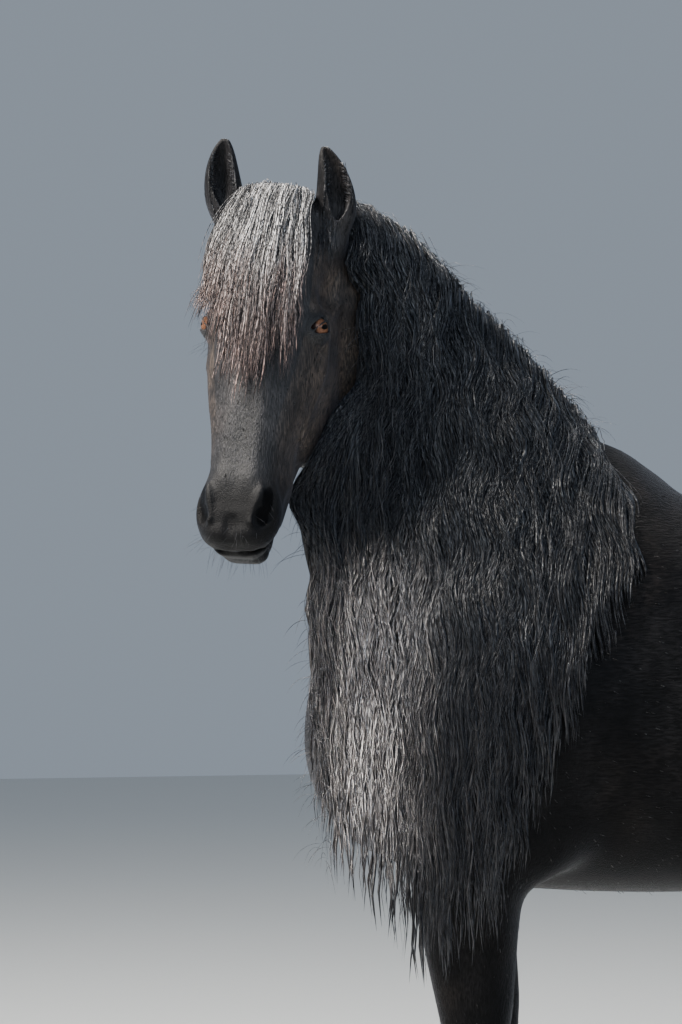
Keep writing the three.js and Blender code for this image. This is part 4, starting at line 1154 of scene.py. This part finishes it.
def coat_tufts(skin):
    """Short tufts over the whole skin that lie with the coat and break its outline."""
    rng = np.random.default_rng(TUFT_SEED)
    skin.calc_loop_triangles()
    roots = apply(TO_PART.inverted(), numbers_of(skin.polygons, "center", 3))
    near = apply(HEAD.inverted(), roots)
    on_head = (near[:, 2] < 40) & (near[:, 1] < 260) & (np.abs(near[:, 0]) < 130) & (roots[:, 2] > 1200)
    share = numbers_of(skin.polygons, "area", 1)[:, 0] * (1 + 5 * on_head)
    share[(on_head & (near[:, 2] < -500)) | (eye_gap(near) < 36) | (roots[:, 2] < 90)] = 0
    chosen = rng.choice(len(share), TUFTS, replace=False, p=share / share.sum())
    normal = numbers_of(skin.polygons, "normal", 3)[chosen]
    roots, on_head = roots[chosen], on_head[chosen, None]
    down = np.array(HEAD.to_3x3() @ Vector((0, 0, -1)))
    back = smooth(clamp01((roots[:, 1:2] + 300) / 250)) * smooth(clamp01((roots[:, 2:] - 850) / 150))
    lie = np.where(on_head, down, back * [0, 1, -0.35] + (1 - back) * [0, 0.25, -1])
    lie = lie - (lie * normal).sum(1, keepdims=True) * normal + rng.normal(0, 0.08, lie.shape)
    lie /= np.linalg.norm(lie, axis=1, keepdims=True)
    s = np.linspace(0, 1, 4)[None, :, None]
    length = rng.uniform(*TUFT_LENGTHS, (TUFTS, 1, 1)) * np.where(on_head, 0.7, 1)[:, None]
    rise = rng.uniform(0.2, 0.4, (TUFTS, 1, 1))
    curve = lie[:, None] * s + rise * normal[:, None] * s * (1.3 - s)
    paths = roots[:, None] - normal[:, None] + length * curve
    half = rng.uniform(0.4, 0.9, TUFTS)
    return "coat_tufts", paths, half, half * 0.4, np.cross(normal, lie)[:, None], rng.uniform(0, 1, TUFTS)


def ear_fringe():
    """Hair along the two edges of each ear's cup, swept up and across it."""
    rng = np.random.default_rng(EAR_SEED)
    made = []
    s = np.linspace(0, 1, 7)[None, :, None]
    for side in (1, -1):
        t = rng.uniform(0.1, 0.8, EAR_FRINGE)
        place = np.where(rng.uniform(0, 1, EAR_FRINGE) < 0.6, 24, 3)
        sections = ear_rings(t, False, *EARS[side])
        roots = sections[np.arange(EAR_FRINGE), place]
        across = sections.mean(1) - roots
        turn = math.radians(EARS[side][0])
        up = np.array([math.sin(turn), -math.cos(turn), 0])
        reach = rng.uniform(0.2, 0.7, (EAR_FRINGE, 1, 1))
        paths = roots[:, None] + across[:, None] * s * reach + up * 4 * np.sin(2.2 * s)
        paths = paths + np.array([0, 0, 1]) * rng.uniform(2, 14, (EAR_FRINGE, 1, 1)) * s
        start = np.array([88, 30, -44]) + rng.normal(0, 1, (EAR_TUFT, 1, 3)) * [7, 5, 12]
        way = np.array([0.16, -0.1, -1]) + rng.normal(0, 0.1, (EAR_TUFT, 1, 3))
        paths = np.concatenate([paths, start + way * rng.uniform(30, 64, (EAR_TUFT, 1, 1)) * s])
        half = rng.uniform(0.3, 0.6, len(paths))
        tone = rng.uniform(0.2, 1, len(paths))
        name = "ear_left_fringe" if side > 0 else "ear_right_fringe"
        made.append((name, apply_all(HEAD, paths * [side, 1, 1]), half, half, HEAD_ACROSS, tone))
    return made


def apply_all(matrix, paths):
    return apply(matrix, paths.reshape(-1, 3)).reshape(paths.shape)


def over_face(points, head, lift):
    """Strands of the head's frame laid on the face, at that height over it."""
    shape = points.shape
    flat = points.reshape(-1, 3)
    gap = np.linspace(-60, 120, 46)
    probes = flat[:, None, :] * [1, 0, 1] + gap[:, None] * [0, 1, 0]
    distance = head.distance(probes.reshape(-1, 3)).reshape(len(flat), -1)
    hit = distance < 0
    first = np.where(hit.any(1), gap[np.argmax(hit, 1)], 90.0)
    front = first.reshape(shape[:2])
    y = smoothed(front, 2)
    y = np.minimum(y, 60)
    points = points.copy()
    points[:, 1:, 1] = (y - lift)[:, 1:]
    flat = points.reshape(-1, 3)
    clear = lift.ravel() * 0.8
    clear[:: shape[1]] = -20
    for _ in range(2):
        flat = head.push_out(flat, clear)
    return flat.reshape(shape)


def tail_line(t):
    return np.stack([0 * t, 1060 + 155 * (1 - np.exp(-10 * t)) - 25 * t, 1462 - 1400 * t**1.3], -1)


def tail_meshes():
    """Layers of locks and fine hair round the line of the tail, down to near the ground."""
    rng = np.random.default_rng(TAIL_SEED)
    made = []
    for number, (locks, out, start, half_width, children) in enumerate(TAIL_LAYERS):
        angle = 2 * np.pi * (np.arange(locks) + rng.uniform(0, 1, locks)) / locks
        begin = start + rng.uniform(-0.1, 0.1, locks) * (start > 0.1)
        stop = rng.uniform(0.85, 0.985, locks)
        s = np.linspace(0, 1, 22)
        t = begin[:, None] + (stop - begin)[:, None] * s
        swell = 0.75 + 0.75 * np.sin(np.pi * np.minimum(1, 0.15 + 0.8 * s))
        spread = out * swell * smooth(clamp01(s / 0.16)) * rng.uniform(0.75, 1.05, (locks, 1))
        away = np.stack([np.sin(angle), np.cos(angle), 0 * angle], 1)
        across = np.stack([np.cos(angle), -np.sin(angle), 0 * angle], 1)
        wave = waves(rng, s, 1300 * (stop - begin), rng.uniform(130, 200, locks), rng.uniform(0, 6.28, locks))
        guides = tail_line(t) + away[:, None] * spread[..., None] + across[:, None] * (9 * wave)[..., None]
        spread = np.array([6, 6, 0])
        ribbons, share, tone = children_of(rng, guides, 2, spread, 0.5, (0.8, 1), (0.6, 1.2))
        half = half_width * share
        wide = np.repeat(across, 2, axis=0)[:, None]
        made.append(("tail_locks_%d" % number, ribbons, half, half * 0.35, wide, tone))
        if children:
            spread = np.array([10, 10, 2])
            fine, half, tone = children_of(rng, guides, children, spread, 0.7, (0.55, 0.99), (0.5, 1.1))
            wide = np.repeat(across, children, axis=0)[:, None]
            made.append(("tail_hair_%d" % number, fine, half, half, wide, tone))
    return made


def feather_meshes(name):
    """Long hair round the back and the sides of a leg from below the knee or hock, over the hoof."""
    rows, hoof, side, at = LEGS[name]
    rng = np.random.default_rng(FEATHER_SEEDS[name])
    table = shifted(rows, at)[::-1]
    made = []
    s = np.linspace(0, 1, 8)
    for number, (locks, high, low, out, half_width, reach, children) in enumerate(FEATHER_LAYERS):
        angle = reach * rng.uniform(-1, 1, locks)
        away = np.stack([np.sin(angle), np.cos(angle)], 1)
        top = high - 50 * np.abs(np.sin(angle / 2)) + rng.uniform(-24, 24, locks)
        end = np.maximum(low + rng.uniform(-8, 34, locks), FLOOR_CLEAR - 2)
        z = top[:, None] - (top - end)[:, None] * s
        level = np.maximum(z, 70)
        front, wide, back, half, x = columns_at(table, level)[:5]
        depth = np.where(away[:, 1:] > 0, back - wide, wide - front)
        radius = 1 / np.hypot(away[:, :1] / half, away[:, 1:] / depth)
        clear = out + 46 * clamp01((110 - z) / 110) + 14 * np.sin(np.pi * s) + rng.uniform(-3, 6, (locks, 1))
        r = radius + clear * smooth(clamp01(s / 0.3)) - 6 * (s < 0.01)
        wave = 4 * waves(rng, s, top - end, rng.uniform(70, 120, locks), rng.uniform(0, 6.28, locks))
        left, rear = away[:, :1], away[:, 1:]
        guides = np.stack([side * (x + left * r + rear * wave), wide + rear * r - left * wave, z], -1)
        across = np.stack([np.cos(angle) * side, -np.sin(angle), 0 * angle], 1)
        spread = np.array([3, 3, 0])
        ribbons, share, tone = children_of(rng, guides, 2, spread, 0.5, None, (0.6, 1.2))
        half = half_width * share
        label = "%s_feather_locks_%d" % (name, number)
        made.append((label, ribbons, half, half * 0.4, np.repeat(across, 2, axis=0)[:, None], tone))
        spread = np.array([6, 6, 2])
        fine, half, tone = children_of(rng, guides, children, spread, 0.8, None, (0.4, 0.9))
        label = "%s_feather_hair_%d" % (name, number)
        made.append((label, fine, half, half, np.repeat(across, children, axis=0)[:, None], tone))
    for _, paths, *_ in made:
        paths[..., 2] = np.maximum(paths[..., 2], FEATHER_FLOOR)
    return made
class Look:
    """A material, with short ways to add the nodes that it is made of."""

    def __init__(self, name):
        self.material = bpy.data.materials.new(name)
        self.material.use_nodes = True
        self.tree = self.material.node_tree
        self.shader = self.tree.nodes["Principled BSDF"]
        self.place = self.node("TexCoord").outputs["Object"]

    def fill(self, node, inputs):
        """Sets a node's inputs, or links them where they are outputs of another."""
        for key, value in inputs.items():
            if isinstance(value, bpy.types.NodeSocket):
                self.tree.links.new(value, node.inputs[key])
            else:
                node.inputs[key].default_value = value

    def node(self, kind, inputs=None, **settings):
        made = self.tree.nodes.new("ShaderNode" + kind)
        for key, value in settings.items():
            setattr(made, key, value)
        self.fill(made, inputs or {})
        return made

    def attribute(self, name, output="Fac"):
        return self.node("Attribute", attribute_name=name).outputs[output]

    def vector(self, operation, *inputs):
        return self.node("VectorMath", dict(enumerate(inputs)), operation=operation)

    def noise(self, scale, detail, roughness=0.5, place=None):
        vector = self.vector("MULTIPLY", place or self.place, scale).outputs[0]
        inputs = {"Vector": vector, "Scale": 1.0, "Detail": detail, "Roughness": roughness}
        return self.node("TexNoise", inputs).outputs["Fac"]

    def ramp(self, factor, *stops):
        """Colours along a factor: each stop is a place and a colour, or one number for a grey."""
        made = self.node("ValToRGB", {"Fac": factor})
        elements = made.color_ramp.elements
        for k, (place, color) in enumerate(stops):
            element = elements[k] if k < 2 else elements.new(place)
            element.position = place
            element.color = (*(color if isinstance(color, tuple) else [color] * 3), 1)
        return made.outputs["Color"]

    def blend(self, factor, a, b, kind="MIX"):
        return self.node("Mix", {0: factor, 6: a, 7: b}, data_type="RGBA", blend_type=kind).outputs[2]

    def number_blend(self, factor, a, b):
        return self.node("Mix", {0: factor, 2: a, 3: b}, data_type="FLOAT").outputs[0]

    def product(self, first, *others):
        for color in others:
            first = self.blend(1.0, first, color, "MULTIPLY")
        return first

    def bump(self, height, strength, distance, **more):
        inputs = {"Height": height, "Strength": strength, "Distance": distance, **more}
        return self.node("Bump", inputs).outputs["Normal"]

    def finished(self, **inputs):
        """The material, its shader set."""
        self.fill(self.shader, {key.replace("_", " "): value for key, value in inputs.items()})
        return self.material


def hair_material(name, dark, light, tips, grain, contrast, sheen):
    """Long hair: dark, each strand of its own tone and finely streaked, glossy along its length."""
    look = Look(name)
    middle = tuple(0.8 * a + 0.2 * b for a, b in zip(dark, light))
    color = look.ramp(look.attribute("tone"), (0.0, dark), (0.7, middle), (1.0, light))
    tip = look.ramp(look.attribute("along"), (0.55, 1), (0.95, tips))
    streak = look.noise(grain, 4.0)
    streaks = look.ramp(streak, (0.42, contrast[0]), (0.62, contrast[1]))
    look.fill(look.shader, {"Specular IOR Level": look.ramp(streak, (0.45, 0.06), (0.66, 0.8))})
    return look.finished(
        Base_Color=look.product(color, tip, streaks),
        Normal=look.bump(streak, 0.7, 0.002),
        Roughness=0.38,
        Sheen_Weight=sheen,
        Sheen_Roughness=0.4,
        Sheen_Tint=(0.7, 0.8, 1.0, 1),
    )


def skin_material():
    """Short black coat: fine hairs along the lie with painted glints, bare dark grey skin at the muzzle, and
    the painted shade of mark_skin.
    """
    look = Look("coat")
    bare, painted_shade = look.attribute("bare"), look.attribute("painted_shade")
    along, downwards = (look.noise(way, 4.0, 0.6) for way in ((300, 55, 300), (400, 400, 75)))
    hairs = look.number_blend(look.attribute("down"), along, downwards)
    coat = look.ramp(look.noise((5, 5, 5), 4.0), (0.3, COAT_DARK), (0.55, COAT_MIDDLE), (0.85, COAT_BROWN))
    coat = look.blend(look.attribute("brown"), coat, (*COAT_BROWN, 1))
    # Fine hair streaks in the base colour, the bright ones painted glints up to 3.6 times as light
    hair_streaks_and_glints = look.ramp(hairs, (0.4, 0.35), (0.7, (3.6, 3.5, 3.5)))
    clouds = look.ramp(look.noise((22, 22, 14), 5.0), (0.35, (0.45, 0.45, 0.5)), (0.65, 1.5))
    color = look.blend(bare, look.product(coat, hair_streaks_and_glints, clouds), (*MUZZLE_GREY, 1))
    # The painted shade darkens the colour and dims the gloss as well
    gleam = look.node("Math", {0: painted_shade, 1: 0.34}, operation="MULTIPLY").outputs[0]
    look.fill(look.shader, {"Specular IOR Level": gleam})
    pores = look.noise((420, 420, 420), 5.0)
    return look.finished(
        Base_Color=look.product(color, painted_shade),
        Normal=look.bump(look.number_blend(bare, hairs, pores), 0.8, 0.003),
        Roughness=0.5,
        Sheen_Weight=0.06,
        Sheen_Roughness=0.35,
        Sheen_Tint=(0.72, 0.8, 1.0, 1),
    )


def eye_material():
    """A brown iris with fibres, dark at its rim, round a lying oval pupil."""
    look = Look("eye")
    gaze = look.attribute("gaze", "Vector")
    flat = look.vector("MULTIPLY", gaze, (1, 1, 0)).outputs[0]
    radius = look.vector("LENGTH", flat).outputs["Value"]
    oval = look.vector("LENGTH", look.vector("MULTIPLY", flat, (2.6, 4.6, 0)).outputs[0]).outputs["Value"]
    amber = look.ramp(look.noise((14, 14, 14), 5.0, place=gaze), (0.3, EYE_BROWN), (0.7, EYE_AMBER))
    white = look.ramp(radius, (0.6, 1), (0.72, (0.03, 0.02, 0.015)), (1.0, (0.1, 0.07, 0.06)))
    pupil = look.ramp(oval, (0.85, 0), (1.0, 1))
    look.fill(look.shader, {"Specular IOR Level": 0.12})
    return look.finished(
        Base_Color=look.product(amber, white, pupil),
        Roughness=0.3,
        Coat_Weight=0.05,
        Coat_Roughness=0.06,
    )


def horn_material():
    """Dark horn, with rings of growth round the hoof and grain down it."""
    look = Look("horn")
    grain = look.noise((500, 500, 40), 3.0)
    growth = look.bump(look.noise((8, 8, 260), 2.0), 0.5, 0.0015)
    return look.finished(
        Base_Color=look.ramp(grain, (0.3, (0.018, 0.016, 0.014)), (0.7, (0.05, 0.043, 0.036))),
        Normal=look.bump(grain, 0.3, 0.0006, Normal=growth),
        Roughness=0.5,
    )


def mark_skin(mesh):
    """Which way the coat lies at each point, how bare and brown it is, and its painted shade: darker behind
    the head, on the muzzle and the ears, in the nostrils and along the lips.
    """
    points = apply(TO_PART.inverted(), numbers_of(mesh.vertices, "co", 3))
    head = apply(HEAD.inverted(), points)
    side = np.abs(head[:, 0])
    high = points[:, 2] > 1200
    trunk = smooth(clamp01((points[:, 1] + 320) / 300)) * smooth(clamp01((points[:, 2] - 850) / 180))
    mark(mesh, "down", 1 - trunk)
    muzzle = clamp01((-470 - head[:, 2]) / 70) * high * (side < 90)
    mark(mesh, "bare", np.maximum(0.85 * muzzle, smooth(clamp01((34 - eye_gap(head)) / 9))))
    face = smooth(clamp01((head[:, 2] + 60) / -60)) * (head[:, 1] < 330) * high
    mark(mesh, "brown", smooth(clamp01((side - 40) / 40)) * (head[:, 1] > 20) * face)
    # Painted shade: the body behind the head much darker, and the muzzle and the ears darker
    painted_body_shade = smooth(clamp01((points[:, 1] + 560) / 120)) * (1 - (head[:, 1] < 300) * (head[:, 2] < 0))
    ear = smooth(clamp01((head[:, 2] + 30) / 60)) * smooth(clamp01((side - 46) / 10)) * (head[:, 1] < 120)
    painted_shade = (1 - 0.78 * painted_body_shade) * (1 - 0.68 * muzzle) * (1 - 0.5 * ear)
    folded = np.stack([side, head[:, 1], head[:, 2]], 1)
    # Painted shadow inside and round the nostrils
    for centre, radii in NOSTRIL_PAINTED_SHADOWS:
        away = np.linalg.norm((folded - centre) / radii, axis=1)
        painted_shade = np.minimum(painted_shade, 0.12 + 0.88 * smooth(clamp01((away - 0.7) / 0.4)))
    # Painted shade along the crease between the lips
    steps = np.linspace(0, len(MOUTH) - 1, 33)
    lips = np.stack(columns_at(np.column_stack([range(len(MOUTH)), MOUTH]), steps), 1)
    gap = np.min([np.linalg.norm(folded - p, axis=1) for p in lips], axis=0)
    mark(mesh, "painted_shade", np.minimum(painted_shade, 0.1 + 0.9 * smooth(clamp01((gap - 4) / 5))))


def placed(name, data, place, ahead):
    """A light or a camera at a place, looking ahead."""
    made = added(name, data)
    made.location = place
    made.rotation_euler = ahead.to_track_quat("-Z", "Y").to_euler()
    return made


def way_to(azimuth, height):
    """The direction to a light, from its azimuth and height in degrees."""
    a, e = math.radians(azimuth), math.radians(height)
    return Vector((math.sin(a) * math.cos(e), -math.cos(a) * math.cos(e), math.sin(e)))


def floor():
    mesh = bpy.data.meshes.new("floor")
    corners = [(-FLOOR_REACH, -FLOOR_REACH, 0), (FLOOR_REACH, -FLOOR_REACH, 0)]
    corners += [(-x, -y, 0) for x, y, _ in corners]
    mesh.from_pydata(corners, [], [(0, 1, 2, 3)])
    look = Look("floor")
    mesh.materials.append(look.finished(Base_Color=FLOOR_COLOR, Roughness=0.9))
    added("floor", mesh)


def lights():
    world = bpy.data.worlds.new("studio")
    bpy.context.scene.world = world
    world.use_nodes = True
    background = world.node_tree.nodes["Background"]
    background.inputs["Color"].default_value = (*WORLD_COLOR, 1)
    background.inputs["Strength"].default_value = WORLD_STRENGTH
    middle = TO_PART @ Vector(LIT_MIDDLE)
    for name, (azimuth, height, distance, size, power, color) in LIGHTS.items():
        data = bpy.data.lights.new(name, "AREA")
        data.shape, data.size, data.energy, data.color = "DISK", size, power, color
        way = way_to(azimuth, height)
        placed(name, data, middle + distance * way, -way)
    azimuth, height, distance, cone, power, color, (x, y) = SUN_PATCH
    data = bpy.data.lights.new("sun_patch", "SPOT")
    data.energy, data.color, data.spot_size, data.spot_blend = power, color, math.radians(cone), 1.0
    data.shadow_soft_size = 0.05
    way = way_to(azimuth, height)
    for z in SUN_HEIGHTS:
        placed("sun_patch_%d" % z, data, TO_PART @ Vector((x, y, z)) + distance * way, -way)


def camera():
    data = bpy.data.cameras.new("camera")
    data.lens, data.sensor_width, data.clip_end = CAMERA_LENS, 36, 100
    way = way_to(CAMERA_AZIMUTH, 0)
    place = TO_PART @ (Vector(CAMERA_TARGET) + CAMERA_DISTANCE * way)
    bpy.context.scene.camera = placed("camera", data, place, -way)


body = body_clay(BODY_VOXEL)
body.soften(2)
head = head_clay(HEAD_VOXEL)
head.soften(1)
points, quads = body.surface(BODY_INSET)
body_mesh = mesh_of("body", points, [quads])
points, quads = head.surface(HEAD_INSET)
head_mesh = thinned(mesh_of("head", points, [quads], TO_PART @ HEAD), HEAD_SHARE)
skin = whole_skin(body_mesh, head_mesh)
mark_skin(skin)
flesh_nodes = ["torso", "neck", "head", "ear_left", "ear_right", *LEGS, *(name + "_fetlock" for name in LEGS)]
piece(skin, skin_material(), *flesh_nodes)

eye = eye_material()
for side, name in ((1, "eye_left"), (-1, "eye_right")):
    piece(eyeball(name + "_ball", side), eye, name)
horn = horn_material()
for name in LEGS:
    piece(hoof_mesh(name), horn, name + "_hoof")

# Looks of hair: name, dark, light, tips, grain, contrast, sheen
mane_look = hair_material("mane_hair", MANE_DARK, MANE_GREY_AND_GLINT, MANE_TIPS, (260, 260, 6), (0.5, 1.6), 0.1)
colors = FORELOCK_DARK, FORELOCK_GLINT, FORELOCK_TIPS
forelock_look = hair_material("forelock_hair", *colors, (480, 480, 14), (0.15, 2.5), 0.08)
coat_look = hair_material("coat_hair", COAT_DARK, COAT_BROWN, (1, 1, 1), (260, 260, 260), (0.5, 1.5), 0.02)
hair = [(mane_look, "neck", made) for made in mane_meshes(Side(body), head)]
hair += [(forelock_look, "head", made) for made in forelock_meshes(head)]
hair += [(mane_look, "tail", made) for made in tail_meshes()]
hair.append((coat_look, "torso", coat_tufts(skin)))
hair.append((mane_look, "head", whiskers(head)))
hair += [(mane_look, node, made) for node, made in zip(("ear_left", "ear_right"), ear_fringe())]
for name in LEGS:
    hair += [(mane_look, name + "_fetlock", made) for made in feather_meshes(name)]
for look, node, (name, paths, half, deep, across, tone) in hair:
    triangles = len(paths) * (6 * paths.shape[1] - 11)
    parts = math.ceil(triangles / COAT_PIECE_TRIANGLES)
    across = np.broadcast_to(across, paths.shape)
    for k, some in enumerate(np.array_split(np.arange(len(paths)), parts)):
        label = name if parts == 1 else "%s_%d" % (name, k)
        given = paths[some], half[some], deep[some], across[some], paths[some, 1], tone[some]
        piece(hair_mesh(label, *given), look, node)

floor()
lights()
camera()
